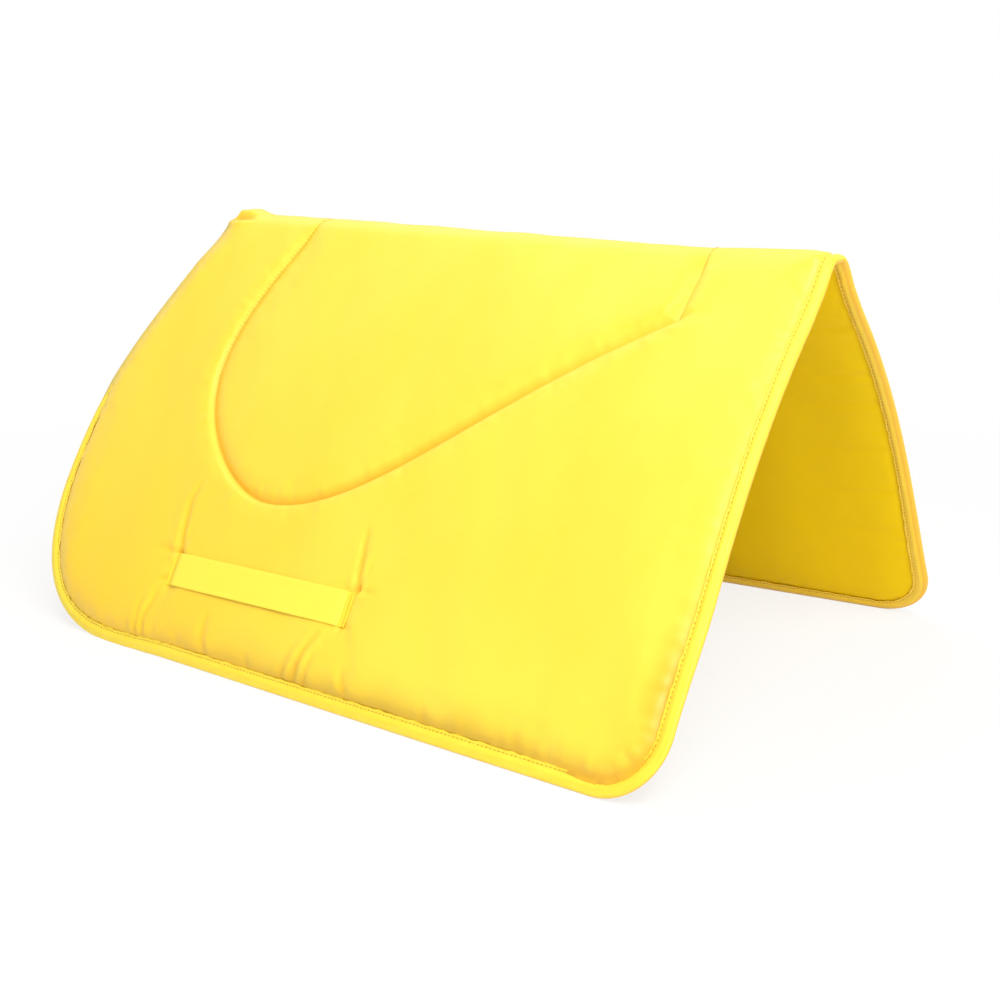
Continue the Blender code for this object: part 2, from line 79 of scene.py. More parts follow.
class Flap(Enum):
    """The two flaps, by the side of the horse that each lies on."""

    NEAR = -1
    OFF = 1

    @property
    def body(self) -> str:
        """Name of the body that this flap belongs to."""
        return f"{self.name.lower()}_side"

    def node(self, layer: str) -> str:
        """Name of this flap's node of one layer."""
        return f"{self.name.lower()}_{layer}"


class Bend(Enum):
    """Stretches over which a sewn line is puckered, as (shortest, longest) wave in metres."""

    SEAM = (0.011, 0.034)
    BORDER = (0.012, 0.034)
    TAPE = (0.006, 0.013)


def smooth_step(value: np.ndarray) -> np.ndarray:
    """Eases a share from 0 to 1."""
    value = np.clip(value, 0, 1)
    return value * value * (3 - 2 * value)


def swell(distance: np.ndarray, span: float) -> np.ndarray:
    """Rounded rise from 0 to 1 over the span, steep at its foot like a stuffed panel."""
    left = 1 - np.clip(distance / span, 0, 1)
    return np.sqrt(1 - left ** 2)


def past(value: np.ndarray, rise: Pair) -> np.ndarray:
    """Share that eases in from a place over a span."""
    return smooth_step((value - rise[0]) / rise[1])


def band(value: np.ndarray, rise: Pair, fall: Pair) -> np.ndarray:
    """Share that eases in from a place over a span, and out up to a place over a span."""
    return past(value, rise) * smooth_step((fall[0] - value) / fall[1])


def at_least(least: float, share: np.ndarray) -> np.ndarray:
    """Share of 0 to 1 squeezed into the range from the least to 1."""
    return least + (1 - least) * share


def bell(offset: np.ndarray, width: float, power: int = 2) -> np.ndarray:
    """Rounded hump of height 1 about zero."""
    return np.exp(-(offset / width) ** power)


def within(points: np.ndarray, loop: np.ndarray) -> np.ndarray:
    """True for the flat points inside a closed line.

    Args:
        points: flat points, one row each.
        loop: corners of the closed line.

    Returns:
        One flag for each point.
    """
    count = np.zeros(len(points), dtype=int)
    for (x1, y1), (x2, y2) in zip(loop, np.roll(loop, -1, axis=0)):
        if y1 != y2:
            crosses = (y1 > points[:, 1]) != (y2 > points[:, 1])
            count += crosses & (points[:, 0] < x1 + (points[:, 1] - y1) * (x2 - x1) / (y2 - y1))
    return count % 2 == 1


def bezier(start: Vector, pull: Vector, push: Vector, end: Vector, step: float) -> list[Vector]:
    """Points along one Bezier stretch, without its last point.

    Args:
        start: first knot.
        pull: handle of the first knot.
        push: handle of the last knot.
        end: last knot.
        step: wanted distance between points.

    Returns:
        Flat points about one step apart.
    """
    length = (pull - start).length + (push - pull).length + (end - push).length
    count = max(2, round(length / step))
    knots = [point.to_3d() for point in (start, pull, push, end)]
    return [point.to_2d() for point in interpolate_bezier(*knots, count + 1)[:-1]]


@dataclass(frozen=True)
class FlatLine:
    """A line drawn on one flap of the flat cloth; distances to it count on both flaps."""

    nodes: np.ndarray

    @classmethod
    def through(cls, points: list) -> "FlatLine":
        """Line through flat points."""
        return cls(np.array([tuple(point) for point in points], dtype=float))

    @property
    def places(self) -> np.ndarray:
        """Distance along the line at each of its points."""
        steps = np.linalg.norm(np.diff(self.nodes, axis=0), axis=1)
        return np.concatenate([[0.0], np.cumsum(steps)])

    @property
    def length(self) -> float:
        """Whole length of the line."""
        return float(self.places[-1])

    def run_on(self, reach: float) -> "FlatLine":
        """The line with a straight stretch past the spine at both ends.

        Args:
            reach: length of each added stretch.

        Returns:
            The longer line.
        """
        ends = []
        for point, beside in ((self.nodes[0], self.nodes[1]), (self.nodes[-1], self.nodes[-2])):
            way = point - beside
            ends.append(point + way / np.linalg.norm(way) * reach)
        return FlatLine(np.vstack([ends[0], self.nodes, ends[1]]))

    def at(self, along: np.ndarray) -> tuple[np.ndarray, np.ndarray]:
        """Finds points at distances along the line, and the line's direction there.

        Args:
            along: distances along the line.

        Returns:
            The points and the unit directions, one row each.
        """
        places = self.places
        index = np.clip(np.searchsorted(places, along, side="right") - 1, 0, len(places) - 2)
        step = self.nodes[index + 1] - self.nodes[index]
        span = np.maximum(places[index + 1] - places[index], SMALL)
        share = ((along - places[index]) / span)[:, None]
        return self.nodes[index] + share * step, step / span[:, None]

    def measure(self, s: np.ndarray, t: np.ndarray) -> tuple[np.ndarray, np.ndarray, np.ndarray]:
        """Measures flat points against the line, with both flaps folded on each other.

        Args:
            s: places along the spine.
            t: places down the flap.

        Returns:
            Distance to the line, distance along it to the nearest point, and the nearest points.
        """
        points = np.stack([s, np.abs(t)], axis=1)
        places = self.places
        best = np.full(len(points), np.inf)
        along = np.zeros(len(points))
        foot = np.zeros_like(points)
        for first in range(0, len(points), CHUNK):
            part = slice(first, first + CHUNK)
            here = points[part]
            gaps = ((here[:, None, :] - self.nodes[None, :, :]) ** 2).sum(axis=2)
            nearest = np.argmin(gaps, axis=1)
            for shift in (-1, 0):
                index = np.clip(nearest + shift, 0, len(self.nodes) - 2)
                start = self.nodes[index]
                step = self.nodes[index + 1] - start
                share = ((here - start) * step).sum(axis=1) / np.maximum((step ** 2).sum(axis=1), SMALL)
                share = np.clip(share, 0, 1)
                spot = start + share[:, None] * step
                distance = np.linalg.norm(here - spot, axis=1)
                better = distance < best[part]
                rows = np.flatnonzero(better) + first
                best[rows] = distance[better]
                along[rows] = (places[index] + share * np.linalg.norm(step, axis=1))[better]
                foot[rows] = spot[better]
        return best, along, foot


@dataclass(frozen=True)
class Pattern:
    """The flat cut of one flap: its bound outline, its seat-shaped seam and its sewn-on keeper."""

    spine_length: float = 0.672
    front_drop: float = 0.4574
    rear_drop: float = 0.4733
    front_reach: Pair = (0.0944, 0.252)
    notch_lean: Pair = (0.034, 0.080)
    reach_run: float = 0.100
    toe_fall: float = 0.240
    toe_sweep: float = 0.096
    hem_front: float = 0.125
    rear_corner: float = 0.058
    seat_front: float = 0.130
    seat_rear: float = 0.1125
    seat_forward: Pair = (0.0614, 0.1643)
    seat_lowest: Pair = (0.1964, 0.2983)
    seat_corner: Pair = (0.0022, 0.0772)
    spine_pull: Pair = (0.712, 0.481)
    forward_pull: Pair = (0.270, 0.560)
    lowest_pull: Pair = (0.366, 0.298)
    corner_pull: Pair = (0.485, 0.534)
    keeper_length: float = 0.226
    keeper_width: float = 0.0315
    keeper_from_notch: float = 0.223
    keeper_from_hem: float = 0.0846
    keeper_sewn: float = 0.006
    overrun: float = 0.010
    step: float = 0.003

    @property
    def front(self) -> float:
        """Place of the notch along the spine."""
        return -self.spine_length / 2

    @property
    def rear(self) -> float:
        """Place of the rear edge along the spine."""
        return self.spine_length / 2

    @property
    def middle(self) -> float:
        """Middle of the pad's whole length, where world X is zero."""
        return (self.front - self.front_reach[0] + self.rear) / 2

    def drop_at(self, s: np.ndarray) -> np.ndarray:
        """Length of the flap from spine to hem at the place s."""
        return self.front_drop + (self.rear_drop - self.front_drop) * (s - self.front) / self.spine_length

    def outline(self) -> FlatLine:
        """Outer edge of one flap with its binding on, from the notch round to the rear of the spine.

        Returns:
            Open line that starts and ends on the spine.
        """
        notch = Vector((self.front, 0))
        reach = Vector((self.front - self.front_reach[0], self.front_reach[1]))
        hem_s = self.front + self.hem_front
        hem_front = Vector((hem_s, self.drop_at(hem_s)))
        corner_s = self.rear - self.rear_corner
        hem_rear = Vector((corner_s, self.drop_at(corner_s)))
        along = (hem_rear - hem_front).normalized()
        pull = notch + Vector((-self.notch_lean[0], self.notch_lean[1]))
        points = bezier(notch, pull, reach - Vector((0, self.reach_run)), reach, self.step)
        pull = reach + Vector((0, self.toe_fall))
        points += bezier(reach, pull, hem_front - along * self.toe_sweep, hem_front, self.step)
        points += self.straight(hem_front, hem_rear)
        centre = Vector((corner_s, hem_rear.y - self.rear_corner))
        parts = round(self.rear_corner * QUARTER_TURN / self.step)
        for i in range(parts):
            turn = QUARTER_TURN * (1 - i / parts)
            points.append(centre + self.rear_corner * Vector((math.cos(turn), math.sin(turn))))
        end = Vector((self.rear, 0))
        points += self.straight(Vector((self.rear, centre.y)), end)
        return FlatLine.through(points + [end])

    def straight(self, start: Vector, end: Vector) -> list[Vector]:
        """Points along a straight stretch, without its last point."""
        count = max(1, round((end - start).length / self.step))
        return [start.lerp(end, i / count) for i in range(count)]

    def seam(self) -> FlatLine:
        """The seat-shaped quilting line of one flap, from the spine in front to the spine behind.

        Returns:
            Open line that starts and ends on the spine.
        """
        start = Vector((self.front + self.seat_front, 0))
        forward = Vector((start.x - self.seat_forward[0], self.seat_forward[1]))
        lowest = Vector((self.front + self.seat_lowest[0], self.seat_lowest[1]))
        rear = Vector((self.rear - self.seat_rear, 0))
        corner = Vector((rear.x - self.seat_corner[0], self.seat_corner[1]))
        lean, fall, climb = forward - start, lowest - forward, corner - lowest
        curves = (
            (start, start + Vector((lean.x * self.spine_pull[0], lean.y * self.spine_pull[1])),
             forward - Vector((0, lean.y * self.forward_pull[0])), forward),
            (forward, forward + Vector((0, fall.y * self.forward_pull[1])),
             lowest - Vector((fall.x * self.lowest_pull[0], 0)), lowest),
            (lowest, lowest + Vector((climb.x * self.lowest_pull[1], 0)),
             corner - Vector((climb.x * self.corner_pull[0], climb.y * self.corner_pull[1])), corner))
        points = [point for curve in curves for point in bezier(*curve, self.step)]
        return FlatLine.through(points + self.straight(corner, rear) + [rear])

    def overrun_line(self) -> FlatLine:
        """Short stretch where the seam's stitching runs on past its corner.

        Returns:
            A straight line of two points.
        """
        nodes = self.seam().nodes
        corner_s = self.rear - self.seat_rear - self.seat_corner[0]
        corner = np.array([corner_s, self.seat_corner[1]])
        index = int(np.argmin(((nodes - corner) ** 2).sum(axis=1)))
        way = nodes[index] - nodes[index - 3]
        way /= np.linalg.norm(way)
        return FlatLine(np.stack([nodes[index], nodes[index] + way * self.overrun]))

    def keeper_box(self) -> tuple[float, float, float, float]:
        """Flat limits of the keeper.

        Returns:
            First and last s, upper and lower t.
        """
        s = self.front + self.keeper_from_notch
        t = self.drop_at(s) - self.keeper_from_hem
        half = self.keeper_length / 2
        return s - half, s + half, t - self.keeper_width / 2, t + self.keeper_width / 2

    def keeper_lines(self) -> list[FlatLine]:
        """The two lines that sew a keeper down.

        Returns:
            One line across each end of the keeper.
        """
        first, last, upper, lower = self.keeper_box()
        inset = self.keeper_sewn / 2
        return [FlatLine(np.array([[s, upper], [s, lower]])) for s in (first + inset, last - inset)]

    def loop(self, inset: float) -> np.ndarray:
        """Closed outline of both flaps moved in by a distance, mitred at the notch.

        Args:
            inset: distance in from the bound outline.

        Returns:
            Flat points, off flap first, from the notch round to the notch.
        """
        half = self.outline().nodes
        ring = np.vstack([half, half[-2:0:-1] * (1, -1)])
        before = ring - np.roll(ring, 1, axis=0)
        after = np.roll(ring, -1, axis=0) - ring
        before /= np.linalg.norm(before, axis=1)[:, None]
        after /= np.linalg.norm(after, axis=1)[:, None]
        first = np.stack([before[:, 1], -before[:, 0]], axis=1)
        second = np.stack([after[:, 1], -after[:, 0]], axis=1)
        normal = first + second
        normal /= np.linalg.norm(normal, axis=1)[:, None]
        return ring + normal * (inset / (normal * first).sum(axis=1))[:, None]


@dataclass(frozen=True)
class Drape:
    """The middle surface that every layer hangs over.

    Flares and curls are pairs of height and reach; a rise or a fall is a pair of place and span.
    """

    pattern: Pattern
    front_flank: tuple[float, ...] = (30.2, 33.0, 34.0, 18.8)
    rear_flank: tuple[float, ...] = (52.5, 40.1, 29.9, 35.9)
    ridge_radius: float = 0.014
    ridge_lift: float = 0.0085
    lift_reach: float = 0.140
    lift_depth: float = 0.075
    ear: tuple[Pair, ...] = (
        (0.004, 0.0), (0.010, 0.0062), (0.019, 0.0048),
        (0.027, 0.0045), (0.036, 0.0026), (0.048, 0.0))
    ear_depth: float = 0.0095
    curl: Pair = (0.0008, 0.034)
    curl_rise: Pair = (0.010, 0.040)
    curl_fall: Pair = (0.350, 0.130)
    top_curl: float = 0.0045
    top_rise: Pair = (0.008, 0.008)
    top_fall: Pair = (0.060, 0.035)
    flare: Pair = (0.0032, 0.050)
    flare_rise: Pair = (0.0, 0.010)
    flare_fall: Pair = (0.040, 0.026)
    corner_flare: Pair = (0.0085, 0.065)
    corner_rise: Pair = (0.31, 0.10)
    hem_height: float = 0.0031
    binding_radius: float = 0.0036
    steps: int = 96

    def angles(self, s: np.ndarray, depth: np.ndarray, drop: np.ndarray) -> np.ndarray:
        """Angle of the surface from the vertical, in radians, down the flap.

        Args:
            s: places along the spine.
            depth: depths down the flap.
            drop: whole length of the flap there.

        Returns:
            One angle from the vertical for each depth.
        """
        share = (s - self.pattern.front) / self.pattern.spine_length
        u = depth / drop * 3
        angle = np.zeros_like(depth)
        for i, (front, rear) in enumerate(zip(self.front_flank, self.rear_flank)):
            weight = 1.0
            for k in range(4):
                if k != i:
                    weight = weight * (u - k) / (i - k)
            angle = angle + (front + (rear - front) * share) * weight
        top = self.front_flank[0] + (self.rear_flank[0] - self.front_flank[0]) * share
        bend = self.ridge_radius * np.radians(90 - top)
        return np.radians(90 + (angle - 90) * np.clip(depth / bend, 0, 1))

    def fallen(self, s: np.ndarray, length: np.ndarray) -> tuple[np.ndarray, np.ndarray, np.ndarray]:
        """Follows the surface down from the ridge, over each length.

        Args:
            s: places along the spine.
            length: lengths down the flap.

        Returns:
            Run sideways, fall downwards and last angle.
        """
        steps = np.linspace(0, 1, self.steps + 1)[:, None]
        angle = self.angles(s, steps * length, self.pattern.drop_at(s))
        run, across = np.sin(angle), np.cos(angle)
        width = length / self.steps / 2
        return ((run[:-1] + run[1:]).sum(axis=0) * width,
                (across[:-1] + across[1:]).sum(axis=0) * width, angle[-1])

    def lift(self, s: np.ndarray, t: np.ndarray) -> np.ndarray:
        """How far the stiff binding holds the two ends of the ridge up.

        Args:
            s: places along the spine.
            t: places down the flap, negative on the near side.

        Returns:
            Height in metres for each point.
        """
        along = np.clip(1 - (self.pattern.rear - s) / self.lift_reach, 0, 1)
        rear = self.ridge_lift * along * smooth_step(1 - np.abs(t) / self.lift_depth)
        front = np.interp(s - self.pattern.front, *zip(*self.ear))
        return rear + front * smooth_step(2 - 2 * np.abs(t) / self.ear_depth)

    def flared(self, s: np.ndarray, t: np.ndarray) -> np.ndarray:
        """How far the rear edge stands out, beside the ridge and at the near lower corner.

        Args:
            s: places along the spine.
            t: places down the flap, negative on the near side.

        Returns:
            Distance in metres for each point.
        """
        down, ahead = np.abs(t), self.pattern.rear - s
        height, reach = self.flare
        beside = band(down, self.flare_rise, self.flare_fall)
        ridge = height * beside * smooth_step(1 - ahead / reach)
        height, reach = self.corner_flare
        corner = np.where(t < 0, height, 0.0) * past(down, self.corner_rise)
        return ridge + corner * np.clip(1 - ahead / reach, 0, 1) ** 2

    def curled(self, s: np.ndarray, t: np.ndarray) -> np.ndarray:
        """How far the front edge of a flap curls in towards the horse.

        Args:
            s: places along the spine.
            t: places down the flap, negative on the near side.

        Returns:
            Distance in metres for each point.
        """
        depth, reach = self.curl
        result = np.zeros_like(s)
        close = s < self.pattern.front + 2 * reach
        if close.any():
            gap = self.pattern.outline().measure(s[close], t[close])[0]
            down = np.abs(t[close])
            whole = depth * band(down, self.curl_rise, self.curl_fall)
            top = self.top_curl * band(down, self.top_rise, self.top_fall)
            result[close] = (whole + top) * np.clip(1 - gap / reach, 0, 1) ** 2
        return result

    def place(self, s: np.ndarray, t: np.ndarray, height: np.ndarray) -> np.ndarray:
        """World places of flat points.

        Args:
            s: places along the spine.
            t: places down the flap, negative on the near side.
            height: heights above the middle surface, negative towards the horse.

        Returns:
            One row of X, Y, Z for each point.
        """
        s, t, height = (np.asarray(value, dtype=float) for value in (s, t, height))
        height = height - self.curled(s, t) + self.flared(s, t)
        rows = []
        for first in range(0, len(s), CHUNK):
            part = slice(first, first + CHUNK)
            here = s[part]
            whole = self.pattern.drop_at(here) - self.binding_radius
            ridge = self.hem_height + self.fallen(here, whole)[1] + self.lift(here, t[part])
            run, fall, angle = self.fallen(here, np.abs(t[part]))
            side = np.where(t[part] < 0, -1.0, 1.0)
            rows.append(np.stack([here - self.pattern.middle,
                                  side * (run + height[part] * np.cos(angle)),
                                  ridge - fall + height[part] * np.sin(angle)], axis=1))
        return np.vstack(rows)


@dataclass(frozen=True)
class Waves:
    """A lively but repeatable ripple, as a sum of a few sine waves of unlike length."""

    lengths: tuple[float, ...]
    phases: tuple[float, ...]
    weights: tuple[float, ...]

    @classmethod
    def of(cls, bend: Bend, seed: int, count: int = 6) -> "Waves":
        """Waves between the two lengths of a bend, drawn from a fixed seed.

        Args:
            bend: the shortest and longest wave.
            seed: number that fixes the draw.
            count: how many waves.

        Returns:
            The ripple.
        """
        draw = np.random.default_rng(seed)
        low, high = bend.value
        uneven = draw.uniform(0.92, 1.08, count)
        lengths = tuple(float(x) for x in np.geomspace(low, high, count) * uneven)
        phases = tuple(float(x) for x in draw.uniform(0, FULL_TURN, count))
        weights = draw.uniform(0.5, 1.0, count)
        return cls(lengths, phases, tuple(float(x) for x in weights / np.linalg.norm(weights)))

    def at(self, along: np.ndarray) -> np.ndarray:
        """Height of the ripple, about -1 to 1, along a line.

        Args:
            along: distances along the line.

        Returns:
            One height for each distance.
        """
        total = np.zeros_like(along)
        for length, phase, weight in zip(self.lengths, self.phases, self.weights):
            total += weight * np.sin(FULL_TURN * along / length + phase)
        return total


@dataclass(frozen=True)
class Crease:
    """A fold pressed into the cover, deepest at its first point and fading to its last."""

    points: tuple[Pair, ...]
    depth: float
    width: float
    fading: float = 0.6
    rim: float = 0.45
    rim_width: float = 1.1

    @property
    def line(self) -> FlatLine:
        """The line that the fold follows."""
        return FlatLine(np.array(self.points))

    def press(self, s: np.ndarray, t: np.ndarray) -> np.ndarray:
        """Change of height that the fold makes, with a soft rim on either side of it.

        Args:
            s: places along the spine.
            t: places down the flap, negative on the near side.

        Returns:
            Change of height for each point.
        """
        line = self.line
        low, high = line.nodes.min(axis=0), line.nodes.max(axis=0)
        margin = 4 * self.width
        close = ((s > low[0] - margin) & (s < high[0] + margin)
                 & (np.abs(t) > low[1] - margin) & (np.abs(t) < high[1] + margin))
        result = np.zeros_like(s)
        if close.any():
            distance, along, _ = line.measure(s[close], t[close])
            fade = (1 - along / line.length) ** self.fading
            rim = self.rim * bell(distance - 2 * self.width, self.rim_width * self.width)
            result[close] = self.depth * fade * (rim - bell(distance, self.width))
        return result


KEEPER_CREASES = (
    Crease(((-.2225, .3640), (-.2283, .331), (-.231, .3099), (-.2256, .2884)), .0034, .0034),
    Crease(((-.2205, .3650), (-.2170, .349), (-.2140, .338)), .0022, .0030),
    Crease(((-.2246, .3627), (-.2400, .3606), (-.2575, .359)), .0020, .0026),
    Crease(((.0014, .3600), (-.0011, .3383), (-.0048, .3186), (-.006, .302)), .0030, .0032),
    Crease(((.0030, .3600), (.0085, .3440), (.0110, .335)), .0018, .0028),
    Crease(((.0021, .3595), (.0188, .3584), (.027, .3578)), .0016, .0026),
    Crease(((-.2264, .3877), (-.2420, .3895)), .0020, .0028),
    Crease(((-.002, .3915), (.012, .395)), .0014, .0028),
)
HEM_CREASES = (
    Crease(((-.2411, .4470), (-.2433, .4293), (-.2371, .4138), (-.233, .398)), .0026, .0030),
    Crease(((-.2513, .4420), (-.2503, .4228), (-.247, .408)), .0022, .0028),
    Crease(((-.1526, .4500), (-.159, .4348), (-.1569, .4082)), .0022, .0046),
    Crease(((-.0435, .4500), (-.0334, .4219), (-.0222, .400)), .0026, .0036),
    Crease(((-.029, .4510), (-.023, .427), (-.0214, .4133)), .0020, .0030),
    Crease(((-.058, .4500), (-.050, .430), (-.040, .412)), .0014, .0036),
    Crease(((.0223, .4520), (.0151, .4283)), .0022, .0036),
    Crease(((-.100, .4500), (-.104, .434)), .0012, .0050),
    Crease(((.110, .4540), (.106, .438)), .0011, .0050),
    Crease(((.205, .4570), (.203, .440)), .0012, .0050),
    Crease(((.3225, .0480), (.3120, .0380), (.303, .030)), .0012, .0026),
    Crease(((.3225, .0150), (.3100, .0210)), .0012, .0026),
)
EAR_CREASES = (Crease(((-.3260, .0098), (-.3140, .0092), (-.2990, .0086)), .0042, .0020),)
LINING_CREASES = tuple(
    Crease(((.3215, t), (.285, t + .004), (.235, t + .006)), .0007, .0042)
    for t in (.085, .148, .187, .246, .301, .352)
)
CREASES = {Face.COVER: KEEPER_CREASES + HEM_CREASES + EAR_CREASES, Face.LINING: LINING_CREASES}

WAVE_SEEDS = {Face.COVER: 11, Face.LINING: 43}
RAGGED_SEED = 5
SHADE_SEED = 7
TAPE_SEED = 21


def by_face(cover: float, lining: float) -> dict[Face, float]:
    """Field that holds one value for each face."""
    return field(default_factory=lambda: {Face.COVER: cover, Face.LINING: lining})


@dataclass
class Padding:
    """Heights of the pad's two faces above and below the middle surface."""

    pattern: Pattern
    rises: dict[Face, float] = by_face(0.0085, 0.0055)
    edge_rise: float = 0.0023
    edge_swell: float = 0.034
    padding_start: float = 0.0088
    binding_radius: float = 0.0036
    satin: float = 0.0008
    clearance: float = 0.0003
    groove_span: dict[Face, float] = by_face(0.0110, 0.013)
    seat_span: float = 0.0180
    seat_ease: float = 0.85
    groove_share: dict[Face, float] = by_face(0.12, 0.40)
    ridge_reach: float = 0.038
    ridge_swell: float = 0.019
    ridge_groove: float = 0.96
    ridge_ease: float = 0.45
    hem_rise: Pair = (0.25, 0.16)
    welt: float = 0.0015
    welt_place: float = 0.0062
    hem_puff: float = 0.0034
    hem_swell: float = 0.024
    hem_margin: float = 0.0018
    ridge_margin: float = 0.0010
    lap: float = 0.0032
    lap_reach: float = 0.030
    lap_ahead: float = 0.1
    lap_rise: Pair = (0.004, 0.008)
    lap_fall: Pair = (0.245, 0.05)
    lap_overhang: float = 0.0062
    lap_step: float = 0.0018
    ragged: float = 0.0012
    hem_puff_reach: float = 0.060
    toe_puff: float = 0.8
    puff_line: float = -0.120
    puff_span: Pair = (0.12, 0.05)
    corner_place: Pair = (0.050, 0.024)
    corner_reach: float = 0.048
    tuft_radius: float = 0.014
    tuft_share: float = 0.55
    pit: float = 0.24
    pit_width: float = 0.0050
    overrun_span: float = 0.007
    overrun_share: float = 0.55
    pucker: float = 0.00026
    border_pucker: float = 0.00060
    pucker_reach: float = 0.013
    off_shift: float = 0.37
    off_span: float = 0.03
    corner_gather: float = 1.2
    gather_place: Pair = (0.045, 0.030)
    gather_reach: float = 0.060
    sway: float = 0.00045
    detail_fade: float = 0.006
    calm: float = 0.004
    calmest: float = 0.15
    # Painted shade in folds and against the tape, used by folded().
    fold_depth: float = 0.0020
    fold_rise: Pair = (0.30, 0.12)
    fold_reach: Triple = (0.0020, 0.0040, 0.0016)
    fold_share: Triple = (0.20, 0.35, 0.80)
    ragged_fold: float = 0.6
    pressed_share: float = 0.80
    lining_fold: Pair = (0.35, 0.002)
    # Painted shade where the cover turns down to the tape, used by shaded().
    shade_rise: Pair = (0.27, 0.14)
    shade_width: float = 0.0120
    shade_uneven: float = 0.25
    corner_shade: float = 0.6

    def __post_init__(self) -> None:
        """Draws the lines that the heights are measured from."""
        edge = self.pattern.loop(self.binding_radius)
        self.edge = FlatLine(edge[: len(self.pattern.outline().nodes)])
        self.edge_guide = self.edge.run_on(self.padding_start + self.edge_swell)
        self.seam = self.pattern.seam()
        self.seam_guide = self.seam.run_on(self.groove_span[Face.COVER])
        self.keepers = self.pattern.keeper_lines()
        self.overrun = self.pattern.overrun_line()

    def rise(self, s: np.ndarray, t: np.ndarray, face: Face) -> np.ndarray:
        """Height of one face without its creases: edge, seam and sewn keeper ends only.

        Args:
            s: places along the spine.
            t: places down the flap, negative on the near side.
            face: the face of the pad.

        Returns:
            Height for each point.
        """
        edge_gap, edge_along, _ = self.edge_guide.measure(s, t)
        low = self.hemward(t)
        ridge = 1 - smooth_step(np.abs(t) / self.ridge_reach)
        border = edge_gap - self.padding_start - self.hem_margin * low + self.ridge_margin * ridge
        span = self.edge_swell + (self.ridge_swell - self.edge_swell) * ridge
        edge = swell(border, span) ** (1 - self.ridge_ease * ridge)
        share = self.groove_share[face] + (self.ridge_groove - self.groove_share[face]) * ridge
        gap = self.seam_guide.measure(s, t)[0]
        climb = swell(gap, self.groove_span[face])
        extra, tuft = np.zeros_like(s), 1.0
        if face is Face.COVER:
            seat = self.on_seat(s, t)
            stuffed = np.sin(QUARTER_TURN * np.clip(gap / self.seat_span, 0, 1)) ** self.seat_ease
            climb = np.where(seat, stuffed, climb)
            tuft = self.tufted(s, t)
            ahead, down = self.puff_span
            toe = smooth_step((self.puff_line - s) / ahead) * smooth_step(np.abs(t) / down)
            puff = swell(border, self.hem_swell) * bell(border, self.hem_puff_reach)
            extra = self.hem_puff * np.maximum(low, self.toe_puff * toe) * puff
            welt = self.beside_seam(gap) * np.where(seat, 0.0, 1.0)
            extra = extra + self.welt * welt * (1 - ridge) * smooth_step(border / self.welt_place)
            ragged = self.ragged * Waves.of(Bend.BORDER, RAGGED_SEED).at(edge_along)
            hanging = smooth_step((border + self.lap_overhang + ragged) / self.lap_step)
            over = np.maximum(self.turned_in(s, t), self.rear_corner(s, t) * hanging)
            extra = extra + self.lap * over * (1 - smooth_step(border / self.lap_reach))
        rise = (self.rises[face] - self.edge_rise) * edge * at_least(share, climb)
        return self.edge_rise + (rise + extra) * tuft

    def tufted(self, s: np.ndarray, t: np.ndarray) -> np.ndarray:
        """Share of its rise that the cover keeps beside a keeper's sewn ends and the overrun.

        Args:
            s: places along the spine.
            t: places down the flap, negative on the near side.

        Returns:
            Share for each point.
        """
        share = np.ones_like(s)
        for line in self.keepers:
            sewn = line.measure(s, t)[0]
            share *= at_least(self.tuft_share, swell(sewn, self.tuft_radius))
            share *= 1 - self.pit * bell(sewn, self.pit_width, 4)
        run = swell(self.overrun.measure(s, t)[0], self.overrun_span)
        return share * at_least(self.overrun_share, run)

    def beside_seam(self, gap: np.ndarray) -> np.ndarray:
        """Share that is greatest, and one, a little beside the seam."""
        across = gap / self.welt_place
        return across * np.exp(1 - across)

    def hemward(self, t: np.ndarray) -> np.ndarray:
        """Share that grows from the middle of a flap to its hem."""
        return past(np.abs(t), self.hem_rise)

    def turned_in(self, s: np.ndarray, t: np.ndarray) -> np.ndarray:
        """Share of the front edge above the toe, where the cover lies over the tape."""
        return smooth_step(-s / self.lap_ahead) * band(np.abs(t), self.lap_rise, self.lap_fall)

    def rear_corner(self, s: np.ndarray, t: np.ndarray) -> np.ndarray:
        """Share of the lower rear corner, where the cover bulges over the tape.

        Args:
            s: places along the spine.
            t: places down the flap, negative on the near side.

        Returns:
            Share for each point.
        """
        ahead, up = self.corner_place
        down = self.pattern.drop_at(s) - np.abs(t)
        return bell(np.hypot(s - self.pattern.rear + ahead, down - up), self.corner_reach)

    def on_seat(self, s: np.ndarray, t: np.ndarray) -> np.ndarray:
        """True for the points between the seat seam and the spine."""
        return within(np.stack([s, np.abs(t)], axis=1), self.seam_guide.nodes)

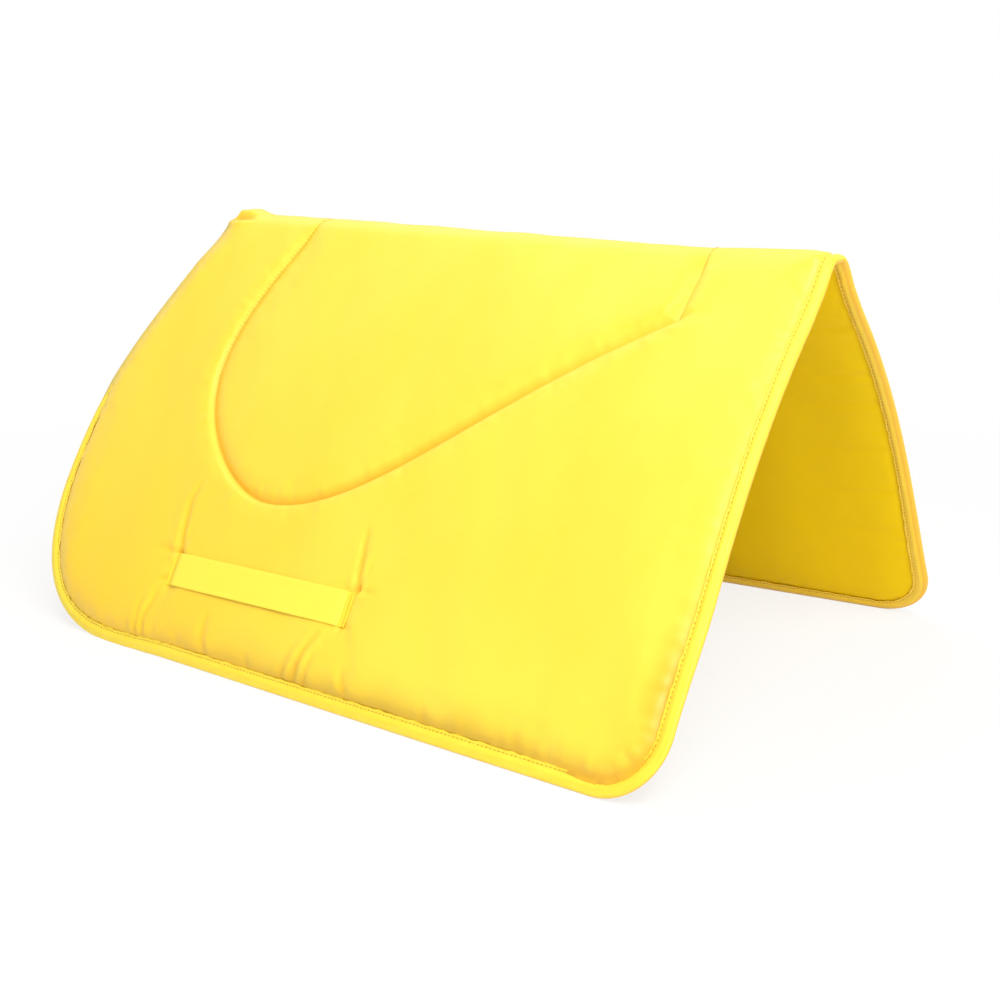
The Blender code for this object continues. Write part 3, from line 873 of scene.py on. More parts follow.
    def detail(self, s: np.ndarray, t: np.ndarray, face: Face) -> np.ndarray:
        """Puckers, folds and sway of one face, on top of its plain height.

        Args:
            s: places along the spine.
            t: places down the flap, negative on the near side.
            face: the face of the pad.

        Returns:
            Change of height for each point.
        """
        edge_gap, edge_along, _ = self.edge_guide.measure(s, t)
        seam_gap, seam_along, _ = self.seam_guide.measure(s, t)
        own = WAVE_SEEDS[face]
        shift = np.where(t < 0, 0.0, self.off_shift) * past(np.abs(t), (self.calm, self.off_span))
        seam_wave = Waves.of(Bend.SEAM, own).at(seam_along + shift)
        total = self.pucker * seam_wave * self.beside_seam(seam_gap)
        border = edge_gap - self.padding_start - self.hem_margin * self.hemward(t)
        edge_wave = Waves.of(Bend.BORDER, own + 1).at(edge_along + shift)
        ahead, up = self.gather_place
        turn = np.hypot(s - self.pattern.rear + ahead, np.abs(t) - self.pattern.drop_at(s) + up)
        gather = 1 + (self.corner_gather * bell(turn, self.gather_reach) if face is Face.COVER else 0)
        fade = np.exp(-np.clip(border, 0, 1) / self.pucker_reach)
        total += self.border_pucker * gather * edge_wave * fade
        total += self.sway * self.swaying(s, t, own + 2)
        total += self.folds(s, t, face)
        quiet = at_least(self.calmest, smooth_step(seam_gap / self.calm))
        total = total * smooth_step((border + 0.001) / self.detail_fade) * quiet
        if face is Face.LINING:
            return total
        first, last, upper, lower = self.pattern.keeper_box()
        beside = np.maximum(np.maximum(first - s, s - last), 0)
        above = np.maximum(np.maximum(upper - np.abs(t), np.abs(t) - lower), 0)
        clear = smooth_step(np.hypot(beside, above) / self.calm)
        return np.where(total > 0, total * clear, total)

    @staticmethod
    def folds(s: np.ndarray, t: np.ndarray, face: Face) -> np.ndarray:
        """Change of height from all the folds pressed into one face."""
        return sum((crease.press(s, t) for crease in CREASES[face]), np.zeros_like(s))

    def folded(self, s: np.ndarray, t: np.ndarray, face: Face) -> np.ndarray:
        """Share of painted shade: a deeper colour in the cloth's folds and against the tape, where shade
        falls.

        Args:
            s: places along the spine.
            t: places down the flap, negative on the near side.
            face: the face of the pad.

        Returns:
            Share for each point.
        """
        pressed = np.clip(-self.folds(s, t, face) / self.fold_depth, 0, 1)
        gap, along, _ = self.edge_guide.measure(s, t)
        low = past(np.abs(t), self.fold_rise)
        border = np.clip(gap - self.padding_start - self.hem_margin * low, 0, 1)
        if face is Face.LINING:
            share, reach = self.lining_fold
            return share * np.clip(pressed + np.exp(-border / reach), 0, 1)
        corner = self.rear_corner(s, t)
        ragged = 1 + self.ragged_fold * Waves.of(Bend.BORDER, RAGGED_SEED).at(along)
        everywhere, hem, rear = self.fold_reach
        reach = everywhere + hem * low * (1 - corner) + rear * corner * ragged
        everywhere, hem, rear = self.fold_share
        share = (everywhere + hem * low + rear * corner) * (1 - self.turned_in(s, t))
        return np.clip(self.pressed_share * pressed + share * np.exp(-border / reach), 0, 1)

    def shaded(self, s: np.ndarray, t: np.ndarray) -> np.ndarray:
        """Share of painted shade: a dark band where the cover turns down to the tape, along hem and toe.

        Args:
            s: places along the spine.
            t: places down the flap, negative on the near side.

        Returns:
            Share for each point.
        """
        border = np.clip(self.edge_guide.measure(s, t)[0] - self.padding_start, 0, 1)
        width = self.shade_width * (1 + self.shade_uneven * self.swaying(s, t, SHADE_SEED))
        corner = 1 - self.corner_shade * self.rear_corner(s, t)
        return past(np.abs(t), self.shade_rise) * corner * bell(border, width)

    @staticmethod
    def swaying(s: np.ndarray, t: np.ndarray, seed: int) -> np.ndarray:
        """Broad unevenness of foam and cloth, mostly in soft upright streaks.

        Args:
            s: places along the spine.
            t: places down the flap, negative on the near side.
            seed: number that fixes the draw.

        Returns:
            Height for each point, about -1 to 1.
        """
        draw = np.random.default_rng(seed)
        total = np.zeros_like(s)
        for _ in range(9):
            length = draw.uniform(0.045, 0.150)
            lean = draw.normal(0, 0.35)
            phase = draw.uniform(0, FULL_TURN)
            total += np.sin(FULL_TURN * (s * math.cos(lean) + t * math.sin(lean)) / length + phase)
        return total / 3

    def height(self, s: np.ndarray, t: np.ndarray, face: Face) -> np.ndarray:
        """Finished height of one face."""
        return self.rise(s, t, face) + self.detail(s, t, face)


class Nodes:
    """One node tree, with short ways to add and join its nodes."""

    def __init__(self, tree: bpy.types.NodeTree) -> None:
        """Starts with nothing in the tree."""
        self.tree = tree
        tree.nodes.clear()

    def add(self, kind: str, **settings: object) -> bpy.types.Node:
        """Adds a node and sets its own options.

        Args:
            kind: type of the node.
            settings: its options by name.

        Returns:
            The node.
        """
        node = self.tree.nodes.new(kind)
        for name, value in settings.items():
            setattr(node, name, value)
        return node

    def join(self, source: object, target: Socket) -> None:
        """Links a socket to another, or sets the other to a constant.

        Args:
            source: socket or constant.
            target: socket that takes it.
        """
        if isinstance(source, Socket):
            self.tree.links.new(source, target)
        else:
            target.default_value = source

    def sum(self, operation: str, *terms: object) -> Socket:
        """One step of arithmetic on sockets and numbers.

        Args:
            operation: what is worked out.
            terms: its sockets and numbers.

        Returns:
            Socket of the result.
        """
        node = self.add("ShaderNodeMath", operation=operation)
        for socket, term in zip(node.inputs, terms):
            self.join(term, socket)
        return node.outputs[0]

    def plus(self, one: object, two: object) -> Socket:
        """Sum of two sockets or numbers."""
        return self.sum("ADD", one, two)

    def times(self, one: object, two: object) -> Socket:
        """Product of two sockets or numbers."""
        return self.sum("MULTIPLY", one, two)

    def spread(self, value: Socket, low: float, high: float,
               from_low: float = 0.0, from_high: float = 1.0) -> Socket:
        """Maps a value to another range, held at its ends.

        Args:
            value: socket of the value.
            low: result at the low end.
            high: result at the high end.
            from_low: value at the low end.
            from_high: value at the high end.

        Returns:
            Socket of the result.
        """
        node = self.add("ShaderNodeMapRange")
        for socket, number in zip(node.inputs, (value, from_low, from_high, low, high)):
            self.join(number, socket)
        return node.outputs["Result"]

    def end(self, kind: str, share: Socket, one: bpy.types.Node, two: bpy.types.Node) -> None:
        """Ends the tree with a mix of two shaders by a share.

        Args:
            kind: type of the output.
            share: share of the second shader.
            one: first shader.
            two: second shader.
        """
        mix, output = self.add("ShaderNodeMixShader"), self.add(kind)
        for source, socket in zip((share, one.outputs[0], two.outputs[0]), mix.inputs):
            self.join(source, socket)
        self.join(mix.outputs[0], output.inputs["Surface"])


class Graph(Nodes):
    """Node tree of one finish, which ends in one shader."""

    def __init__(self, name: str) -> None:
        """Starts an empty finish with its shader and output.

        Args:
            name: name of the material.
        """
        self.material = bpy.data.materials.new(name)
        self.material.use_nodes = True
        super().__init__(self.material.node_tree)
        self.shader = self.add("ShaderNodeBsdfPrincipled")
        output = self.add("ShaderNodeOutputMaterial")
        self.join(self.shader.outputs["BSDF"], output.inputs["Surface"])

    def uv(self, name: str) -> Socket:
        """The piece's own flat coordinates, in metres."""
        return self.add("ShaderNodeUVMap", uv_map=name).outputs["UV"]

    def split(self, vector: Socket) -> tuple[Socket, Socket]:
        """First and second coordinate of a vector.

        Args:
            vector: socket of the vector.

        Returns:
            Sockets of the two coordinates.
        """
        node = self.add("ShaderNodeSeparateXYZ")
        self.join(vector, node.inputs[0])
        return node.outputs[0], node.outputs[1]

    def threads(self, coordinate: Socket, pitch: float) -> Socket:
        """Even threads across a coordinate, as a height from -1 to 1."""
        return self.sum("SINE", self.times(coordinate, FULL_TURN / pitch))

    def noise(self, vector: Socket, stretch: Triple, detail: float = 2.0, rough: float = 0.5) -> Socket:
        """Cloudy variation, with its own scale along each coordinate, in clouds a metre.

        Args:
            vector: socket of the place.
            stretch: clouds a metre, for each coordinate.
            detail: how many finer layers.
            rough: strength of the finer layers.

        Returns:
            Socket of the cloud's value.
        """
        mapping = self.add("ShaderNodeMapping")
        mapping.inputs["Scale"].default_value = stretch
        self.join(vector, mapping.inputs["Vector"])
        node = self.add("ShaderNodeTexNoise")
        settings = {"Scale": 1.0, "Detail": detail, "Roughness": rough, "Vector": mapping.outputs["Vector"]}
        for name, value in settings.items():
            self.join(value, node.inputs[name])
        return node.outputs["Fac"]

    def mix(self, share: Socket, one: object, two: object) -> Socket:
        """Mixes two colours by a share.

        Args:
            share: share of the second colour.
            one: first colour.
            two: second colour.

        Returns:
            Socket of the colour.
        """
        node = self.add("ShaderNodeMix", data_type="RGBA")
        self.join(share, node.inputs["Factor"])
        for socket, colour in ((node.inputs[6], one), (node.inputs[7], two)):
            self.join(colour if isinstance(colour, Socket) else (*colour, 1.0), socket)
        return node.outputs[2]

    def bump(self, height: Socket, distance: float, strength: float, under: Socket | None = None) -> Socket:
        """Relief of a height in metres times distance, over another relief.

        Args:
            height: socket of the height.
            distance: its scale.
            strength: share of the relief that shows.
            under: relief that it lies on.

        Returns:
            Socket of the relief.
        """
        node = self.add("ShaderNodeBump")
        node.inputs["Distance"].default_value = distance
        node.inputs["Strength"].default_value = strength
        self.join(height, node.inputs["Height"])
        if under is not None:
            self.join(under, node.inputs["Normal"])
        return node.outputs["Normal"]

    def finish(self, colour: Socket, rough: Socket, relief: Socket, **others: object) -> bpy.types.Material:
        """Joins all that the shader takes.

        Args:
            colour: its colour.
            rough: its roughness.
            relief: its relief.
            others: its other sockets by name, an underscore standing for a space.

        Returns:
            The finished material.
        """
        sources = {"Base_Color": colour, "Roughness": rough, "Normal": relief, **others}
        for name, source in sources.items():
            self.join(source, self.shader.inputs[name.replace("_", " ")])
        return self.material


CLOUDY = (0.35, 0.75)
PLAIN = (0.3, 0.7)
FIBROUS = (0.3, 0.8)
YELLOW_SHEEN = (1.0, 0.9, 0.45, 1.0)
PALE_SHEEN = (1.0, 0.92, 0.5, 1.0)


@dataclass(frozen=True)
class SatinFinish:
    """Polyester satin: fine floats along the length of the pad, slight slubs and a soft sheen, with painted
    shade in folds, along the seam and by the tape.
    """

    name: str
    colour: Triple
    deep: Triple
    # The folded colour is painted shade, used in folds, by the tape and beside the seam.
    folded: Triple
    roughness: Pair = (0.38, 0.50)
    sheen: float = 0.22
    gloss: float = 0.60
    # Painted shade: the colour of the seam's groove, the colour of the hem band, and how strong the painted
    # shade is along the hem, on the seat side of the seam and towards the lower front.
    line: Triple = (0.72, 0.53, 0.014)
    painted_shadow: Triple = (0.66, 0.42, 0.006)
    hem_shade: float = 0.85
    seat_shade: float = 0.95
    front_shade: float = 0.80
    warp_pitch: float = 0.00042
    weft_pitch: float = 0.00110
    pull_pitch: float = 0.0042
    clouds: Triple = (7.0, 4.0, 1.0)
    slubs: Triple = (60.0, 1400.0, 1.0)
    wrinkles: Triple = (36.0, 22.0, 1.0)
    patches: Triple = (24.0, 16.0, 1.0)

    def dress(self) -> bpy.types.Material:
        """Makes the satin, for pieces with maps named cut, sewn and fold.

        Returns:
            The finished material.
        """
        graph = Graph(self.name)
        cut = graph.uv("cut")
        s, t = graph.split(cut)
        along, away = graph.split(graph.uv("sewn"))
        clouds = graph.noise(cut, self.clouds, 3.0, 0.55)
        slubs = graph.noise(cut, self.slubs, 3.0, 0.6)
        share = graph.spread(clouds, 0.0, 0.55, *CLOUDY)
        share = graph.plus(share, graph.spread(slubs, 0.0, 0.25, *CLOUDY))
        colour = graph.mix(share, self.colour, self.deep)
        fold, shade = graph.split(graph.uv("fold"))
        # Painted shade: deeper orange in folds and against the tape, strongest at the lower rear corner.
        colour = graph.mix(fold, colour, self.folded)
        # Painted shade: a dull dark band where the cover turns down to the tape along hem and toe.
        colour = graph.mix(graph.times(shade, self.hem_shade), colour, self.painted_shadow)
        down = graph.sum("ABSOLUTE", t)
        # Painted shade: deeper colour towards the lower front of each flap.
        front = graph.times(graph.spread(down, 0.0, self.front_shade, 0.10, 0.40),
                            graph.spread(s, 1.0, 0.0, -0.30, 0.05))
        colour = graph.mix(front, colour, self.deep)
        # Painted shade: deeper orange on the seat side of the seam, stronger lower down.
        inner = graph.times(graph.spread(away, 0.0, self.seat_shade, -0.0105, -0.0006),
                            graph.spread(down, 0.12, 1.0, 0.05, 0.19))
        inner = graph.times(inner, graph.spread(away, 1.0, 0.0, 0.0, 0.0007))
        colour = graph.mix(inner, colour, self.folded)
        # Stitch dimples just outside the seam: relief, and painted shade in each dimple.
        ticks = graph.times(graph.spread(away, 0.0, 1.0, -0.0006, 0.0004),
                            graph.spread(away, 1.0, 0.0, 0.0006, 0.0032))
        ticks = graph.times(ticks, graph.spread(down, 1.0, 0.35, 0.10, 0.19))
        pulls = graph.threads(along, self.pull_pitch)
        pulled = graph.times(ticks, graph.spread(pulls, 0.0, 0.55, 0.1, 0.9))
        colour = graph.mix(pulled, colour, self.folded)
        # Painted shade along the seam's groove.
        line = graph.spread(graph.sum("ABSOLUTE", away), 0.85, 0.0, 0.0003, 0.0010)
        colour = graph.mix(line, colour, self.line)
        rough = graph.spread(graph.noise(cut, self.patches, 3.0), *self.roughness, *PLAIN)
        rough = graph.plus(rough, graph.times(slubs, 0.05))
        weave = graph.times(graph.threads(t, self.warp_pitch), 0.5)
        weave = graph.plus(weave, graph.times(graph.threads(s, self.weft_pitch), 0.35))
        weave = graph.plus(weave, graph.times(slubs, 2.2))
        relief = graph.bump(weave, 0.00004, 0.5)
        relief = graph.bump(graph.times(ticks, pulls), -0.00015, 0.7, relief)
        wrinkles = graph.noise(cut, self.wrinkles, 4.0, 0.55)
        relief = graph.bump(wrinkles, 0.0012, 0.35, relief)
        return graph.finish(colour, rough, relief, Sheen_Weight=self.sheen, Sheen_Roughness=0.4,
                            Sheen_Tint=YELLOW_SHEEN, Specular_IOR_Level=self.gloss)


@dataclass(frozen=True)
class TapeFinish:
    """Woven binding tape with fine cross ribs, with painted shade where it turns round the edge and in the
    slit under the ear.
    """

    name: str = "binding_tape"
    colour: Triple = (0.98, 0.76, 0.030)
    deep: Triple = (0.95, 0.65, 0.014)
    # The turned colour is painted shade.
    turned: Triple = (0.90, 0.48, 0.004)
    rib: float = 0.0007
    clouds: Triple = (45.0, 120.0, 1.0)
    fibres: Triple = (1500.0, 180.0, 1.0)

    def dress(self) -> bpy.types.Material:
        """Makes the tape, for pieces with a map named tape (along, across) and a map of the distance to the
        slit under the ear, for its painted shade.

        Returns:
            The finished material.
        """
        graph = Graph(self.name)
        tape = graph.uv("tape")
        along, across = graph.split(tape)
        clouds = graph.noise(tape, self.clouds, 3.0, 0.55)
        fibres = graph.noise(tape, self.fibres)
        share = graph.plus(graph.spread(clouds, 0.0, 0.5, *CLOUDY),
                           graph.spread(fibres, 0.0, 0.25, *FIBROUS))
        colour = graph.mix(share, self.colour, self.deep)
        # Painted shade where the tape turns round the edge towards the lining side.
        under = graph.times(graph.spread(across, 0.0, 0.9, 0.0125, 0.0150),
                            graph.spread(across, 1.0, 0.42, 0.0192, 0.0212))
        colour = graph.mix(under, colour, self.turned)
        # Painted shade in the slit under the ear at the front of the spine.
        joint = graph.spread(graph.split(graph.uv("joint"))[0], 0.9, 0.0, 0.0014, 0.0030)
        colour = graph.mix(joint, colour, self.turned)
        rough = graph.spread(clouds, 0.42, 0.56, *PLAIN)
        ribs = graph.plus(graph.threads(along, self.rib),
                          graph.times(graph.threads(across, self.rib * 0.6), 0.4))
        relief = graph.bump(graph.plus(ribs, fibres), 0.00005, 0.5)
        relief = graph.bump(clouds, 0.0009, 0.4, relief)
        return graph.finish(colour, rough, relief, Sheen_Weight=0.16, Sheen_Roughness=0.45,
                            Sheen_Tint=YELLOW_SHEEN, Specular_IOR_Level=0.7)


@dataclass(frozen=True)
class WebbingFinish:
    """Flat woven webbing: lengthwise ribs crossed by a finer weft."""

    name: str = "girth_webbing"
    colour: Triple = (0.97, 0.85, 0.085)
    deep: Triple = (0.96, 0.72, 0.045)
    sewn: Triple = (0.98, 0.69, 0.030)
    rib: float = 0.0021
    weft: float = 0.0009
    fibres: Triple = (900.0, 2600.0, 1.0)

    def dress(self) -> bpy.types.Material:
        """Makes the webbing, for pieces with maps named webbing (along, across) and ends (distance).

        Returns:
            The finished material.
        """
        graph = Graph(self.name)
        webbing = graph.uv("webbing")
        along, across = graph.split(webbing)
        ribs = graph.threads(across, self.rib)
        picks = graph.threads(graph.plus(along, graph.times(across, 0.35)), self.weft)
        fibres = graph.noise(webbing, self.fibres)
        # Painted shade in the valleys between the ribs.
        valley = graph.spread(ribs, 0.34, 0.0, -1.0, 0.4)
        share = graph.plus(valley, graph.spread(fibres, 0.0, 0.35, *FIBROUS))
        colour = graph.mix(share, self.colour, self.deep)
        ends = graph.spread(graph.split(graph.uv("ends"))[0], 0.7, 0.0, 0.0044, 0.0074)
        colour = graph.mix(ends, colour, self.sewn)
        rough = graph.spread(fibres, 0.58, 0.74, *PLAIN)
        weave = graph.plus(ribs, graph.times(picks, 0.35))
        relief = graph.bump(graph.plus(weave, fibres), 0.00012, 0.4)
        return graph.finish(colour, rough, relief, Sheen_Weight=0.06, Sheen_Roughness=0.5,
                            Sheen_Tint=PALE_SHEEN, Specular_IOR_Level=0.25)


@dataclass(frozen=True)
class FoamFinish:
    """Pale open-cell foam."""

    name: str = "foam"
    colour: Triple = (0.93, 0.88, 0.70)
    deep: Triple = (0.80, 0.72, 0.52)
    cells: float = 900.0
    clouds: Triple = (30.0, 30.0, 30.0)

    def dress(self) -> bpy.types.Material:
        """Makes the foam, with open cells of about a millimetre.

        Returns:
            The finished material.
        """
        graph = Graph(self.name)
        place = graph.add("ShaderNodeTexCoord").outputs["Object"]
        cells = graph.add("ShaderNodeTexVoronoi")
        cells.inputs["Scale"].default_value = self.cells
        graph.join(place, cells.inputs["Vector"])
        clouds = graph.noise(place, self.clouds, 3.0)
        # Painted shade in the pits of the open cells, uneven by the clouds.
        share = graph.times(graph.spread(cells.outputs["Distance"], 0.7, 0.0, 0.0, 0.5), clouds)
        colour = graph.mix(share, self.colour, self.deep)
        rough = graph.spread(clouds, 0.85, 0.97, *PLAIN)
        relief = graph.bump(cells.outputs["Distance"], 0.0004, 0.6)
        return graph.finish(colour, rough, relief, Specular_IOR_Level=0.2)


@dataclass(frozen=True)
class ThreadFinish:
    """Twisted polyester sewing thread."""

    name: str
    colour: Triple
    deep: Triple
    twist: float = 0.0005
    fibres: Triple = (1800.0, 1800.0, 1800.0)

    def dress(self) -> bpy.types.Material:
        """Makes the thread, with its slanting twist.

        Returns:
            The finished material.
        """
        graph = Graph(self.name)
        place = graph.add("ShaderNodeTexCoord").outputs["Object"]
        x, y = graph.split(place)
        twist = graph.threads(graph.plus(x, graph.times(y, 0.6)), self.twist)
        fibres = graph.noise(place, self.fibres)
        share = graph.plus(graph.spread(twist, 0.0, 0.5, -1.0, 1.0), graph.spread(fibres, 0.0, 0.4))
        colour = graph.mix(share, self.colour, self.deep)
        rough = graph.spread(fibres, 0.45, 0.65, *PLAIN)
        relief = graph.bump(graph.plus(twist, fibres), 0.00006, 0.6)
        return graph.finish(colour, rough, relief, Sheen_Weight=0.1, Specular_IOR_Level=0.4)


def cross_the_spine(piece: bpy.types.Object) -> None:
    """Bakes a finished piece's placement into its mesh."""
    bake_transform(piece)


def shared(finish: WebbingFinish | ThreadFinish) -> bpy.types.Material:
    """Material of a finish that several pieces have, made once."""
    return bpy.data.materials.get(finish.name) or finish.dress()


def piece_from(name: str, bm: bmesh.types.BMesh, finish: bpy.types.Material) -> bpy.types.Object:
    """Turns a bmesh into a smooth named piece with its finish.

    Args:
        name: name of the piece.
        bm: its shape, which is freed.
        finish: its material.

    Returns:
        The new object, in the scene.
    """
    mesh = bpy.data.meshes.new(name)
    bm.to_mesh(mesh)
    bm.free()
    mesh.materials.append(finish)
    mesh.shade_smooth()
    piece = bpy.data.objects.new(name, mesh)
    bpy.context.scene.collection.objects.link(piece)
    return piece


def points_of(piece: bpy.types.Object) -> np.ndarray:
    """Reads the places of a piece's own points.

    Args:
        piece: a piece with its own mesh.

    Returns:
        Local X, Y, Z of each point.
    """
    flat = np.zeros(len(piece.data.vertices) * 3)
    piece.data.vertices.foreach_get("co", flat)
    return flat.reshape(-1, 3)


def move_points(piece: bpy.types.Object, places: np.ndarray) -> None:
    """Puts a piece's points at new places."""
    piece.data.vertices.foreach_set("co", np.ascontiguousarray(places, dtype=np.float32).ravel())
    piece.data.update()


def draw_map(piece: bpy.types.Object, name: str, first: np.ndarray, second: np.ndarray) -> None:
    """Keeps two numbers of every point as a map on the piece.

    Args:
        piece: the piece.
        name: name of the map.
        first: first number of every point.
        second: second number of every point.
    """
    corners = np.zeros(len(piece.data.loops), dtype=np.int32)
    piece.data.loops.foreach_get("vertex_index", corners)
    layer = piece.data.uv_layers.new(name=name)
    values = np.stack([first[corners], second[corners]], axis=1)
    layer.data.foreach_set("uv", values.astype(np.float32).ravel())


def give_thickness(piece: bpy.types.Object, thickness: float) -> None:
    """Gives a sheet its thickness, inwards from the face that shows.

    Args:
        piece: the sheet.
        thickness: its thickness in metres.
    """
    wall = piece.modifiers.new("thickness", "SOLIDIFY")
    wall.thickness = thickness
    wall.offset = -1.0
    wall.use_even_offset = False


@dataclass
class FlatCloth:
    """Flat cloth of both flaps in one, with finer mesh where it is sewn or folded."""

    padding: Padding
    step: float
    finest: float = 0.005
    beside_seam: float = 0.016
    beside_spine: float = 0.020
    beside_edge: Pair = (-0.004, 0.013)
    beside_crease: float = 2.4

    def cut(self, levels: int, creases: tuple[Crease, ...]) -> tuple[bmesh.types.BMesh, np.ndarray]:
        """Cuts the cloth out of a grid.

        Args:
            levels: how often the mesh is halved where it is sewn.
            creases: folds beside which the mesh is halved once.

        Returns:
            The flat cloth, and a flag for each of its points that is on the cut edge.
        """
        loop = self.padding.pattern.loop(self.padding.binding_radius)
        low, high = loop.min(axis=0), loop.max(axis=0)
        counts = [2 * round((high[k] - low[k]) / self.step / 2) for k in (0, 1)]
        bm = bmesh.new()
        middle = (low + high) / 2
        spread = Matrix.Diagonal((high[0] - low[0], high[1] - low[1], 1.0, 1.0))
        bmesh.ops.create_grid(bm, x_segments=counts[0], y_segments=counts[1], size=0.5,
                              matrix=Matrix.Translation((middle[0], middle[1], 0)) @ spread)
        places = np.array([v.co[:2] for v in bm.verts])
        kept = within(places, loop)
        bmesh.ops.delete(bm, geom=[v for v, keep in zip(bm.verts, kept) if not keep], context="VERTS")
        bmesh.ops.delete(bm, geom=[v for v in bm.verts if not v.link_faces], context="VERTS")
        for level in range(levels):
            bm.verts.ensure_lookup_table()
            bm.verts.index_update()
            wanted = self.wants_halving(np.array([v.co[:2] for v in bm.verts]), level, creases)
            edges = [e for e in bm.edges if wanted[e.verts[0].index] and wanted[e.verts[1].index]]
            bmesh.ops.subdivide_edges(bm, edges=edges, cuts=1, use_grid_fill=True)
        many = [f for f in bm.faces if len(f.verts) > 4]
        bmesh.ops.triangulate(bm, faces=many)
        bm.verts.index_update()
        return bm, np.array([v.is_boundary for v in bm.verts])

    def wants_halving(self, places: np.ndarray, level: int, creases: tuple[Crease, ...]) -> np.ndarray:
        """Flags the points whose surroundings get a finer mesh at one level.

        Args:
            places: flat points, one row each.
            level: how often the mesh has been halved.
            creases: folds that need a finer mesh.

        Returns:
            One flag for each point.
        """
        s, t = places[:, 0], places[:, 1]
        if level:
            lines = [self.padding.seam, *(crease.line for crease in EAR_CREASES)]
            return np.logical_or.reduce([line.measure(s, t)[0] < self.finest for line in lines])
        edge = self.padding.edge.measure(s, t)[0] - self.padding.padding_start
        outer, inner = self.beside_edge
        wanted = (np.abs(t) < self.beside_spine) | ((edge > outer) & (edge < inner))
        for line in (self.padding.seam, *self.padding.keepers):
            wanted |= line.measure(s, t)[0] < self.beside_seam
        for crease in creases:
            wanted |= crease.line.measure(s, t)[0] < self.beside_crease * crease.width
        return wanted

    def snap(self, places: np.ndarray, boundary: np.ndarray, reach: float) -> np.ndarray:
        """Moves edge points to the cut edge, and points close to the seam onto it.

        Args:
            places: flat points, one row each.
            boundary: flags of the points on the cut edge.
            reach: how close to the seam a point is moved.

        Returns:
            The moved points.
        """
        s, t = places[:, 0], places[:, 1]
        side = np.where(t < 0, -1.0, 1.0)
        moved = places.copy()
        foot = self.padding.edge.measure(s, t)[2]
        gap, _, spot = self.padding.seam.measure(s, t)
        close = (gap < reach) & ~boundary & (np.abs(t) > SMALL)
        for rows, onto in ((boundary, foot), (close, spot)):
            moved[rows] = np.stack([onto[:, 0], onto[:, 1] * side], axis=1)[rows]
        return moved


CLOTH_SETTINGS = {
    "quality": 5, "mass": 0.15, "tension_stiffness": 12.0, "compression_stiffness": 12.0,
    "shear_stiffness": 4.0, "bending_stiffness": 1.0, "shrink_min": -0.007,
    "use_pressure": True, "uniform_pressure_force": 2.0,
}


